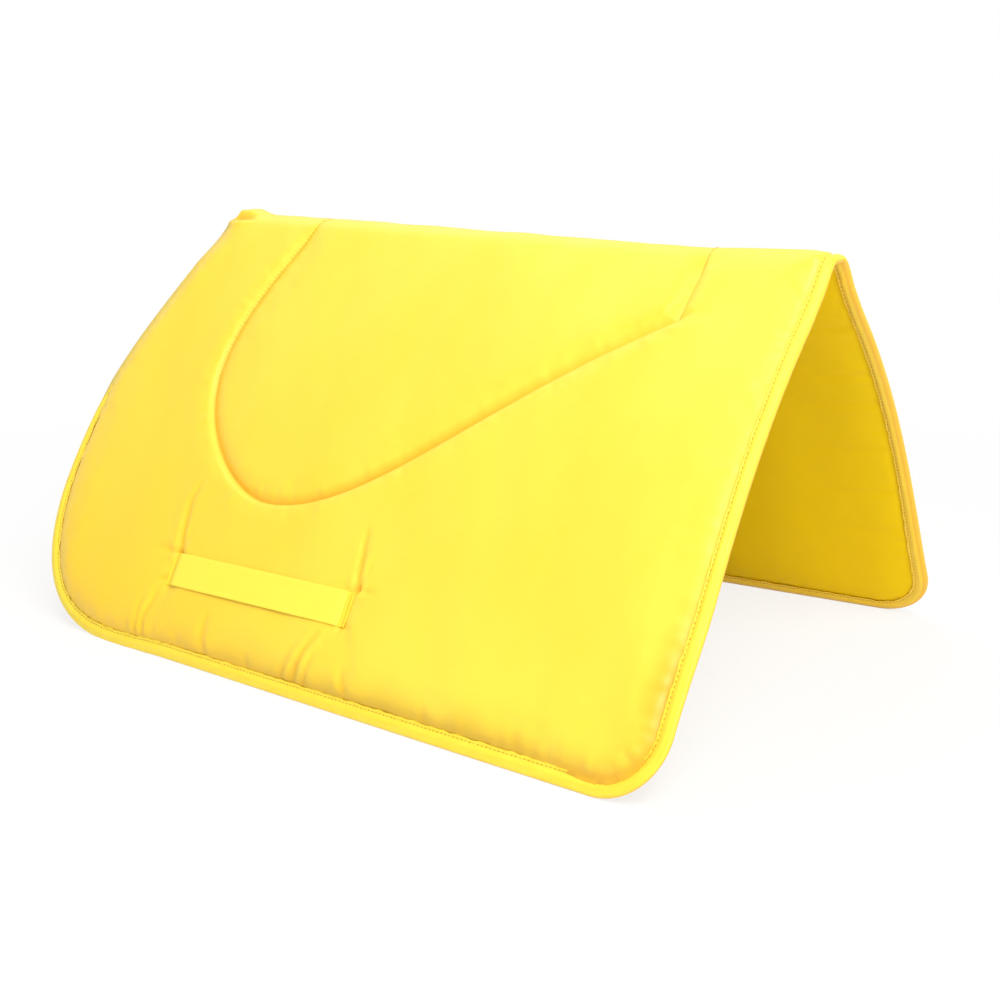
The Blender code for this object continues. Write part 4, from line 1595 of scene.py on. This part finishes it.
@dataclass
class SatinFace:
    """One face of the pad, the cover or the lining, as one cloth over both flaps."""

    padding: Padding
    drape: Drape
    face: Face
    steps: dict[Face, float] = by_face(0.0052, 0.0064)
    snap_reach: float = 0.0007
    held_seam: float = 0.0012
    held_edge: float = 0.001
    held_keeper: float = 0.003
    calm_rise: Pair = (0.002, 0.016)
    calmest: float = 0.15
    frames: int = 16
    lift: float = 0.0012
    sink: float = 0.0004
    drift: float = 0.0012
    ridge_calm: float = 0.050

    def build(self) -> bpy.types.Object:
        """Cuts, pads and drapes the cloth.

        Returns:
            The cloth, with its finish but without thickness.
        """
        outside = self.face is Face.COVER
        cloth = FlatCloth(self.padding, self.steps[self.face])
        bm, boundary = cloth.cut(2, CREASES[self.face])
        if not outside:
            bmesh.ops.reverse_faces(bm, faces=bm.faces)
        piece = piece_from(self.face.name.lower(), bm, self.finish().dress())
        flat = points_of(piece)
        flat[:, :2] = cloth.snap(flat[:, :2], boundary, self.snap_reach)
        s, t = flat[:, 0], flat[:, 1]
        draw_map(piece, "cut", s, t)
        gap, along, _ = self.padding.seam_guide.measure(s, t)
        draw_map(piece, "sewn", along, np.where(self.padding.on_seat(s, t), -gap, gap))
        # The fold map holds painted shade: in folds and against the tape, and along hem and toe.
        draw_map(piece, "fold", self.padding.folded(s, t, self.face), self.padding.shaded(s, t))
        height = self.padding.rise(s, t, self.face)
        if outside:
            s, t, height = self.settle(piece, s, t, height)
        height = height + self.padding.detail(s, t, self.face)
        move_points(piece, self.drape.place(s, t, self.face.value * height))
        return piece

    def settle(self, piece: bpy.types.Object, s: np.ndarray, t: np.ndarray,
               height: np.ndarray) -> tuple[np.ndarray, np.ndarray, np.ndarray]:
        """Lets the flat cloth, cut a little too large, buckle between the places where it is sewn.

        Args:
            piece: the cloth.
            s: places along the spine.
            t: places down the flap.
            height: heights above the middle surface.

        Returns:
            The same three after the simulation, each held within its cap.
        """
        start = np.stack([s, t, height], axis=1)
        move_points(piece, start)
        seam = self.padding.seam.measure(s, t)[0]
        edge = self.padding.edge.measure(s, t)[0]
        held = (seam < self.held_seam) | (edge < self.padding.padding_start + self.held_edge)
        for line in self.padding.keepers:
            held |= line.measure(s, t)[0] < self.held_keeper
        group = piece.vertex_groups.new(name="sewn_down")
        group.add([int(i) for i in np.flatnonzero(held)], 1.0, "REPLACE")
        cloth = piece.modifiers.new("settling", "CLOTH")
        cloth.settings.vertex_group_mass = group.name
        for name, value in CLOTH_SETTINGS.items():
            setattr(cloth.settings, name, value)
        cloth.settings.effector_weights.gravity = 0.0
        cloth.collision_settings.use_collision = False
        cloth.collision_settings.use_self_collision = False
        cloth.point_cache.frame_start = 1
        cloth.point_cache.frame_end = self.frames
        for number in range(1, self.frames + 1):
            bpy.context.scene.frame_set(number)
        ready = piece.evaluated_get(bpy.context.evaluated_depsgraph_get())
        moved = points_of(ready) - start
        piece.modifiers.remove(cloth)
        piece.vertex_groups.remove(group)
        bpy.context.scene.frame_set(1)
        LOG.info("cover settled: lift %.4f to %.4f, drift %.4f m", moved[:, 2].min(), moved[:, 2].max(),
                 np.abs(moved[:, :2]).max())
        calm = at_least(self.calmest, past(seam, self.calm_rise))
        moved *= (calm * smooth_step(np.abs(start[:, 1]) / self.ridge_calm))[:, None]
        moved[:, :2] = self.drift * np.tanh(moved[:, :2] / self.drift)
        up = np.clip(moved[:, 2], 0, None)
        down = np.clip(moved[:, 2], None, 0)
        moved[:, 2] = self.lift * np.tanh(up / self.lift) + self.sink * np.tanh(down / self.sink)
        settled = start + moved
        return settled[:, 0], settled[:, 1], settled[:, 2]

    def finish(self) -> SatinFinish:
        """The satin of this face.

        Returns:
            The finish.
        """
        if self.face is Face.COVER:
            # The third colour of each face is its painted shade.
            return SatinFinish("cover_satin", (0.98, 0.730, 0.054), (0.98, 0.612, 0.012),
                               (0.96, 0.48, 0.004))
        return SatinFinish("lining_satin", (0.93, 0.665, 0.004), (0.90, 0.60, 0.003),
                           (0.84, 0.48, 0.002), sheen=0.0, gloss=0.08, seat_shade=0.2,
                           front_shade=0.0, hem_shade=0.0)

    def dress(self, piece: bpy.types.Object) -> None:
        """Gives the cloth its thickness, bakes its placement and hides the parts that it stands for.

        Args:
            piece: the piece, as build() returns it.
        """
        layer = piece.name
        give_thickness(piece, self.padding.satin)
        cross_the_spine(piece)
        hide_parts(Flap.NEAR.node(layer), Flap.OFF.node(layer), f"spine_{layer}")


@dataclass
class FoamCore:
    """The foam between cover and lining."""

    padding: Padding
    drape: Drape
    step: float = 0.0078
    slack: float = 0.0008
    thinnest: float = 0.0003
    trim: float = 0.0045
    snap_reach: float = 0.0009
    pressed: float = 1.5

    def build(self) -> bpy.types.Object:
        """Makes one closed slab that fills the space between the two cloths.

        Returns:
            The foam, draped in its place.
        """
        cloth = FlatCloth(self.padding, self.step)
        bm, boundary = cloth.cut(2, ())
        places = np.array([v.co[:2] for v in bm.verts])
        for vert, place in zip(bm.verts, cloth.snap(places, boundary, self.snap_reach)):
            vert.co[:2] = place
        bmesh.ops.reverse_faces(bm, faces=bm.faces)
        raised = bmesh.ops.extrude_face_region(bm, geom=bm.faces[:])
        for vert in (v for v in raised["geom"] if isinstance(v, bmesh.types.BMVert)):
            vert.co.z = 1.0
        bmesh.ops.recalc_face_normals(bm, faces=bm.faces)
        piece = piece_from("foam_core", bm, FoamFinish().dress())
        flat = points_of(piece)
        s, t, upper = flat[:, 0], flat[:, 1], flat[:, 2] > 0.5
        inset = self.padding.satin + self.padding.clearance + self.slack
        trimmed = replace(self.padding, padding_start=self.padding.padding_start + self.trim)
        folds = (self.pressed * np.minimum(self.padding.detail(s, t, face), 0) for face in Face)
        top, low = (np.maximum(trimmed.rise(s, t, face) - inset + fold, self.thinnest)
                    for face, fold in zip(Face, folds))
        move_points(piece, self.drape.place(s, t, np.where(upper, top, -low)))
        return piece

    def dress(self, piece: bpy.types.Object) -> None:
        """Bakes the foam's placement and hides the parts that it stands for.

        Args:
            piece: the piece, as build() returns it.
        """
        cross_the_spine(piece)
        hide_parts(Flap.NEAR.node("foam"), Flap.OFF.node("foam"), "spine_foam")


@dataclass
class EdgeBinding:
    """Tape folded round the whole edge and sewn through, one closed ring."""

    padding: Padding
    drape: Drape
    tape: float = 0.0010
    leg: tuple[Pair, ...] = (
        (.0078, .0035), (.0076, .0039), (.0071, .0041), (.0065, .0038), (.0060, .0034), (.0055, .0036),
        (.0047, .0042), (.0036, .0046), (.0024, .0045), (.0013, .0041), (.0005, .0038), (.0, .00365))
    arc_steps: int = 8
    stitch_depth: float = 0.0060
    stitch_height: float = 0.0036
    puff: float = 0.00022
    slit: Pair = (0.013, 0.0098)
    hem_width: float = 0.0026
    slit_depth: float = 0.0014
    slit_width: float = 0.0022
    waver: float = 0.00045
    loose_reach: float = 0.004
    fullness: float = 0.6
    inner_rise: Pair = (0.003, 0.005)
    wave_fade: float = 0.02

    def profile(self) -> list[Triple]:
        """Section of the tape from the cover side round the edge to the lining side.

        Returns:
            Rows of depth in from the cloth's edge, height, and place across the tape.
        """
        radius = self.leg[-1][1]
        arc = []
        for i in range(1, self.arc_steps):
            turn = QUARTER_TURN - math.pi * i / self.arc_steps
            arc.append((-self.padding.binding_radius * math.cos(turn), radius * math.sin(turn)))
        outer = [*self.leg, *arc, *((depth, -height) for depth, height in reversed(self.leg))]
        rows, across = [], 0.0
        for i, (depth, height) in enumerate(outer):
            if i:
                across += math.dist((depth, height), outer[i - 1])
            rows.append((depth, height, across))
        return rows

    def build(self) -> bpy.types.Object:
        """Sweeps the section round the closed outline.

        Returns:
            The tape, without thickness.
        """
        profile = self.profile()
        rings = [self.padding.pattern.loop(self.padding.binding_radius + depth) for depth, _, _ in profile]
        outer = self.padding.pattern.loop(0.0)
        steps = np.linalg.norm(np.diff(np.vstack([outer, outer[:1]]), axis=0), axis=1)
        along = np.concatenate([[0.0], np.cumsum(steps)])
        stations, rows = len(outer), len(profile) - 1
        bm = bmesh.new()
        bmesh.ops.create_grid(bm, x_segments=stations, y_segments=rows, size=0.5)
        piece = piece_from("binding", bm, TapeFinish().dress())
        grid = points_of(piece)
        column = np.rint((grid[:, 0] + 0.5) * stations).astype(int)
        row = np.rint((grid[:, 1] + 0.5) * rows).astype(int)
        flat = np.array(rings)[row, column % stations]
        section = np.array(profile)[row]
        length = along[-1]
        place = along[column]
        draw_map(piece, "tape", place, section[:, 2])
        beyond = np.clip(flat[:, 0] - self.padding.pattern.front - self.slit[0], 0, 1)
        slit = np.hypot(beyond, np.abs(flat[:, 1]) - self.slit[1])
        # Distance to the slit under the ear, for the tape's painted shade there.
        draw_map(piece, "joint", slit, slit)
        loose = smooth_step(section[:, 0] / self.loose_reach)
        wave = self.closed(Waves.of(Bend.TAPE, TAPE_SEED), place, length)
        pull = self.closed(Waves.of(Bend.BORDER, TAPE_SEED + 1), place, length)
        facing = np.sign(section[:, 1])
        height = section[:, 1] + facing * loose * self.puff * np.clip(wave + self.fullness, 0, None)
        height -= facing * loose * self.slit_depth * bell(slit, self.slit_width)
        wide = self.hem_width * self.padding.hemward(flat[:, 1])
        inward = (self.waver * pull + wide) * past(section[:, 0], self.inner_rise)
        way = self.padding.pattern.loop(1.0) - outer
        flat = flat + way[column % stations] * inward[:, None]
        places = self.drape.place(flat[:, 0], flat[:, 1], height)
        places[:, 2] = np.maximum(places[:, 2], 0.0)
        move_points(piece, places)
        self.close(piece)
        return piece

    def closed(self, waves: Waves, place: np.ndarray, length: float) -> np.ndarray:
        """A ripple that meets itself at the notch, faded over the last stretch."""
        return waves.at(place) * smooth_step(np.minimum(place, length - place) / self.wave_fade)

    @staticmethod
    def close(piece: bpy.types.Object) -> None:
        """Joins the two ends of the swept tape and shades it smooth.

        Args:
            piece: the swept tape.
        """
        bm = bmesh.new()
        bm.from_mesh(piece.data)
        bmesh.ops.remove_doubles(bm, verts=bm.verts, dist=1e-5)
        bm.to_mesh(piece.data)
        bm.free()
        piece.data.shade_smooth()

    def dress(self, piece: bpy.types.Object) -> None:
        """Gives the tape its thickness, bakes its placement and hides the parts that it stands for.

        Args:
            piece: the piece, as build() returns it.
        """
        give_thickness(piece, self.tape)
        cross_the_spine(piece)
        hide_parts(Flap.NEAR.node("binding"), Flap.OFF.node("binding"),
                    "front_spine_binding", "rear_spine_binding")


@dataclass
class GirthKeeper:
    """Webbing strap that lies on the cover at its sewn ends and stands off it between them."""

    padding: Padding
    drape: Drape
    flap: Flap
    webbing: float = 0.0014
    standoff: float = 0.0022
    columns: int = 96
    rows: int = 14
    rounding: float = 0.0005
    bite: float = 0.0005
    bite_width: float = 0.0022

    def heights(self, s: np.ndarray, t: np.ndarray) -> np.ndarray:
        """Height of the strap's upper face.

        Args:
            s: places along the spine.
            t: places down the flap, negative on the near side.

        Returns:
            Height for each point.
        """
        first, last, _, _ = self.padding.pattern.keeper_box()
        sewn = self.padding.pattern.keeper_sewn
        along = np.clip((s - first - sewn) / (last - first - 2 * sewn), 0, 1)
        arch = np.sin(math.pi * along) ** 0.5
        ends = np.minimum(s - first, last - s)
        bite = self.bite * bell(ends - sewn / 2, self.bite_width)
        base = self.padding.rise(s, np.abs(t), Face.COVER)
        return base + self.padding.clearance + self.webbing + self.standoff * arch - bite

    def build(self) -> bpy.types.Object:
        """Lays the strap on the flap.

        Returns:
            The strap, without thickness.
        """
        first, last, upper, lower = self.padding.pattern.keeper_box()
        bm = bmesh.new()
        bmesh.ops.create_grid(bm, x_segments=self.columns, y_segments=self.rows, size=0.5)
        bmesh.ops.scale(bm, vec=(last - first, lower - upper, 1.0), verts=bm.verts)
        middle = self.flap.value * (upper + lower) / 2
        bmesh.ops.translate(bm, vec=((first + last) / 2, middle, 0.0), verts=bm.verts)
        piece = piece_from(self.flap.node("keeper_strap"), bm, shared(WebbingFinish()))
        flat = points_of(piece)
        s, t = flat[:, 0], flat[:, 1]
        draw_map(piece, "webbing", s - first, np.abs(t) - upper)
        ends = np.minimum(s - first, last - s)
        draw_map(piece, "ends", ends, ends)
        move_points(piece, self.drape.place(s, t, self.heights(s, t)))
        return piece

    def dress(self, piece: bpy.types.Object) -> None:
        """Gives the strap its thickness and rounded edge, puts it in its body and hides the part that it
        stands for.

        Args:
            piece: the piece, as build() returns it.
        """
        give_thickness(piece, self.webbing)
        edge = piece.modifiers.new("rounded_edge", "BEVEL")
        edge.width = self.rounding
        edge.segments = 2
        edge.limit_method = "ANGLE"
        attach(piece, self.flap.body)
        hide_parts(self.flap.node("girth_keeper"))


@dataclass
class Stitching:
    """Rows of short threads, each lying on the cloth that it holds."""

    padding: Padding
    drape: Drape
    length: float = 0.0027
    pitch: float = 0.0042
    radius: float = 0.00040
    above_cloth: float = 0.0001
    above_webbing: float = 0.0002
    zigzags: int = 16
    zigzag_place: Pair = (0.0012, 0.0028)
    bar_inset: float = 0.0008
    bar_gap: float = 0.0003

    def places(self, line: np.ndarray, heights: np.ndarray, wide: float = 1.0) -> np.ndarray:
        """Works out where threads lie and how they turn.

        Args:
            line: pairs of flat points, the two ends of each thread.
            heights: height of each thread above the middle surface, signed by the face.
            wide: thickness of the thread as a share of the usual one.

        Returns:
            One row of four vectors for each thread: across, up, along and centre.
        """
        one = self.drape.place(line[:, 0, 0], line[:, 0, 1], heights)
        two = self.drape.place(line[:, 1, 0], line[:, 1, 1], heights)
        middle = line.mean(axis=1)
        over = self.drape.place(middle[:, 0], middle[:, 1], heights + np.sign(heights) * 0.001)
        centre, along = (one + two) / 2, (two - one) / 2
        across = np.cross(along, over - centre)
        across /= np.linalg.norm(across, axis=1)[:, None]
        up = np.cross(across, along)
        up /= np.linalg.norm(up, axis=1)[:, None]
        radius = self.radius * wide
        return np.stack([across * radius, up * radius, along, centre], axis=1)

    def threads(self, name: str, turns: np.ndarray, finish: bpy.types.Material) -> bpy.types.Object:
        """Makes one small spindle for each thread, by copying one over and over.

        Args:
            name: name of the piece.
            turns: rows of four vectors, as places() returns them.
            finish: material of the thread.

        Returns:
            All the threads as one piece.
        """
        bm = bmesh.new()
        bmesh.ops.create_uvsphere(bm, u_segments=6, v_segments=4, radius=1.0)
        apart, made = 4.0, 1
        while made < len(turns):
            more = min(made, len(turns) - made)
            limit = (more - 0.5) * apart
            faces = [f for f in bm.faces if f.verts[0].co.x < limit]
            copied = bmesh.ops.duplicate(bm, geom=faces)["geom"]
            verts = [item for item in copied if isinstance(item, bmesh.types.BMVert)]
            bmesh.ops.translate(bm, vec=(made * apart, 0, 0), verts=verts)
            made += more
        piece = piece_from(name, bm, finish)
        spindle = points_of(piece)
        number = np.rint(spindle[:, 0] / apart).astype(int)
        spindle[:, 0] -= number * apart
        move_points(piece, np.einsum("nj,njk->nk", spindle, turns[number, :3]) + turns[number, 3])
        return piece

    def ends_along(self, points: np.ndarray, directions: np.ndarray) -> np.ndarray:
        """Pairs of thread ends about points, in line with directions."""
        half = directions * self.length / 2
        return np.stack([points - half, points + half], axis=1)

    def seam(self, face: Face) -> bpy.types.Object:
        """Threads of the seat seam on one face of both flaps, with the overrun at its corner.

        Args:
            face: the face of the pad.

        Returns:
            The threads as one piece.
        """
        turns = []
        for line in (self.padding.seam, self.padding.overrun):
            along = np.arange(self.pitch / 2, line.length, self.pitch)
            ends = self.ends_along(*line.at(along))
            for flap in Flap:
                both = ends * (1, flap.value)
                height = self.padding.rise(*both.mean(axis=1).T, face)
                turns.append(self.places(both, face.value * (height + self.above_cloth)))
        return self.finished(f"seat_seam_{face.name.lower()}_thread", np.vstack(turns))

    def binding(self, binding: EdgeBinding, face: Face) -> bpy.types.Object:
        """Threads that hold the tape on one face, all round the pad.

        Args:
            binding: the tape that is sewn.
            face: the face of the pad.

        Returns:
            The threads as one piece.
        """
        ring = self.padding.pattern.loop(self.padding.binding_radius + binding.stitch_depth)
        line = FlatLine(np.vstack([ring, ring[:1]]))
        count = round(line.length / self.pitch)
        points, directions = line.at((np.arange(count) + 0.5) * line.length / count)
        wide = binding.hem_width * self.padding.hemward(points[:, 1])
        points = points + directions[:, ::-1] * (1, -1) * (0.7 * wide)[:, None]
        height = np.full(count, face.value * binding.stitch_height)
        turns = self.places(self.ends_along(points, directions), height, 1.25)
        return self.finished(f"binding_{face.name.lower()}_thread", turns)

    def finished(self, name: str, turns: np.ndarray) -> bpy.types.Object:
        """A piece of thread with its finish, its placement baked into its mesh.

        Args:
            name: name of the piece.
            turns: rows of four vectors, as places() returns them.

        Returns:
            The threads as one piece.
        """
        tape = name.startswith("binding")
        shade = (ThreadFinish("binding_thread", (0.68, 0.42, 0.012), (0.48, 0.27, 0.005)) if tape
                 else ThreadFinish("seam_thread", (0.80, 0.52, 0.016), (0.56, 0.32, 0.006)))
        piece = self.threads(name, turns, shared(shade))
        cross_the_spine(piece)
        return piece

    def keeper(self, keeper: GirthKeeper) -> bpy.types.Object:
        """Zigzag threads that hold the two ends of a keeper.

        Args:
            keeper: the strap that is sewn.

        Returns:
            The threads as one piece.
        """
        first, last, upper, lower = self.padding.pattern.keeper_box()
        sewn = self.padding.pattern.keeper_sewn
        turns = []
        count = self.zigzags
        margin, swing = self.zigzag_place
        levels = np.linspace(upper + margin, lower - margin, count + 1)
        for edge, way in ((first, 1), (last, -1)):
            zig = [edge + way * (margin + swing * (i % 2)) for i in range(count + 1)]
            knots = np.stack([zig, levels], axis=1)
            bar = np.full(count, edge + way * (sewn - self.bar_inset))
            starts = np.stack([bar, levels[:-1] + self.bar_gap], axis=1)
            stops = np.stack([bar, levels[1:] - self.bar_gap], axis=1)
            for ends in ((knots[:-1], knots[1:]), (starts, stops)):
                pairs = np.stack(ends, axis=1) * (1, keeper.flap.value)
                height = keeper.heights(*pairs.mean(axis=1).T) + self.above_webbing
                turns.append(self.places(pairs, height, 1.1))
        shade = ThreadFinish("keeper_thread", (0.92, 0.62, 0.024), (0.74, 0.44, 0.010))
        piece = self.threads(keeper.flap.node("keeper_thread"), np.vstack(turns), shared(shade))
        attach(piece, keeper.flap.body)
        return piece


SOFTBOXES = {
    "key_softbox": ((1.40, -1.05, 2.05), (0.05, -0.05, 0.15), 1.4, 53.0),
    "top_softbox": ((-0.90, 0.45, 2.10), (0.0, 0.0, 0.2), 1.6, 13.0),
    "rear_softbox": ((3.20, -1.00, 0.25), (0.15, 0.15, 0.15), 1.0, 15.5),
}


@dataclass
class Studio:
    """Pale floor, soft light from above and the photograph's viewing angle."""

    eye: Triple = (0.9007, -1.2198, 0.5028)
    target: Triple = (0.0488, -0.0049, 0.1323)
    lens: float = 57.19
    sensor: float = 36.0
    ambient: float = 0.50
    bounce: float = 0.88
    paper: float = 0.90
    floor_reach: float = 12.0
    shadow_share: float = 0.22
    shadow_reach: Pair = (0.55, 1.30)

    def build(self) -> None:
        """Makes the camera, the lights, the world and the floor."""
        self.camera()
        for name, settings in SOFTBOXES.items():
            self.lamp(name, *settings)
        self.world()
        self.floor()

    def camera(self) -> None:
        """Sets the camera where the photograph was taken from."""
        data = bpy.data.cameras.new("camera")
        data.lens, data.sensor_width, data.clip_end = self.lens, self.sensor, 60.0
        camera = bpy.data.objects.new("camera", data)
        bpy.context.scene.collection.objects.link(camera)
        camera.location = self.eye
        camera.rotation_euler = self.aimed(self.eye, self.target)
        bpy.context.scene.camera = camera

    @staticmethod
    def aimed(place: Triple, aim: Triple) -> Euler:
        """Turn of a camera or lamp at one place that looks at another."""
        return (Vector(aim) - Vector(place)).to_track_quat("-Z", "Y").to_euler()

    def lamp(self, name: str, place: Triple, aim: Triple, size: float, power: float) -> None:
        """Adds a square softbox.

        Args:
            name: name of the lamp.
            place: where it stands.
            aim: what it points at.
            size: its width.
            power: its watts.
        """
        data = bpy.data.lights.new(name, "AREA")
        data.shape, data.size, data.energy = "SQUARE", size, power
        lamp = bpy.data.objects.new(name, data)
        bpy.context.scene.collection.objects.link(lamp)
        lamp.location = place
        lamp.rotation_euler = self.aimed(place, aim)

    @staticmethod
    def seen_directly(nodes: Nodes) -> Socket:
        """One for the rays that show the background, straight or in a reflection.

        Args:
            nodes: the tree that asks.

        Returns:
            Socket of the flag.
        """
        rays = nodes.add("ShaderNodeLightPath").outputs
        total = rays["Is Camera Ray"]
        for name in ("Is Glossy Ray", "Is Transmission Ray"):
            total = nodes.sum("MAXIMUM", total, rays[name])
        return total

    def world(self) -> None:
        """White background with a plain level of light all round."""
        world = bpy.data.worlds.new("white_studio")
        bpy.context.scene.world = world
        world.use_nodes = True
        nodes = Nodes(world.node_tree)
        room, backdrop = (nodes.add("ShaderNodeBackground") for _ in range(2))
        for light, strength in ((room, self.ambient), (backdrop, 1.0)):
            light.inputs["Strength"].default_value = strength
            light.inputs["Color"].default_value = WHITE
        nodes.end("ShaderNodeOutputWorld", self.seen_directly(nodes), room, backdrop)

    def floor(self) -> None:
        """Pale floor that keeps a light shadow near the pad and is white further off."""
        bm = bmesh.new()
        bmesh.ops.create_grid(bm, x_segments=4, y_segments=4, size=self.floor_reach)
        material = bpy.data.materials.new("studio_floor")
        material.use_nodes = True
        nodes = Nodes(material.node_tree)
        seen = self.seen_directly(nodes)
        paper = nodes.add("ShaderNodeBsdfDiffuse")
        nodes.join(nodes.spread(seen, self.bounce, self.paper), paper.inputs["Color"])
        far = nodes.add("ShaderNodeVectorMath", operation="LENGTH")
        nodes.join(nodes.add("ShaderNodeTexCoord").outputs["Object"], far.inputs[0])
        bright = nodes.spread(far.outputs["Value"], 1 - self.shadow_share, 1.0, *self.shadow_reach)
        white = nodes.add("ShaderNodeEmission")
        nodes.end("ShaderNodeOutputMaterial", nodes.times(seen, bright), paper, white)
        piece_from("studio_floor", bm, material)


def main() -> None:
    """Builds the pad's layers from the inside out, then its studio."""
    logging.basicConfig(level=logging.INFO, format="%(message)s")
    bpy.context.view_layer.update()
    bpy.context.scene.view_settings.view_transform = "Standard"
    pattern = Pattern()
    drape = Drape(pattern)
    padding = Padding(pattern)
    layers = [FoamCore(padding, drape), SatinFace(padding, drape, Face.LINING),
              SatinFace(padding, drape, Face.COVER), EdgeBinding(padding, drape),
              GirthKeeper(padding, drape, Flap.NEAR), GirthKeeper(padding, drape, Flap.OFF)]
    for layer in layers:
        piece = layer.build()
        layer.dress(piece)
        LOG.info("%s: %d faces", piece.name, len(piece.data.polygons))
    stitching = Stitching(padding, drape)
    tape, *keepers = layers[3:]
    threads = [stitching.seam(face) for face in Face]
    threads += [stitching.binding(tape, face) for face in Face]
    threads += [stitching.keeper(keeper) for keeper in keepers]
    for thread in threads:
        LOG.info("%s: %d faces", thread.name, len(thread.data.polygons))
    Studio().build()


if __name__ == "__main__":
    main()
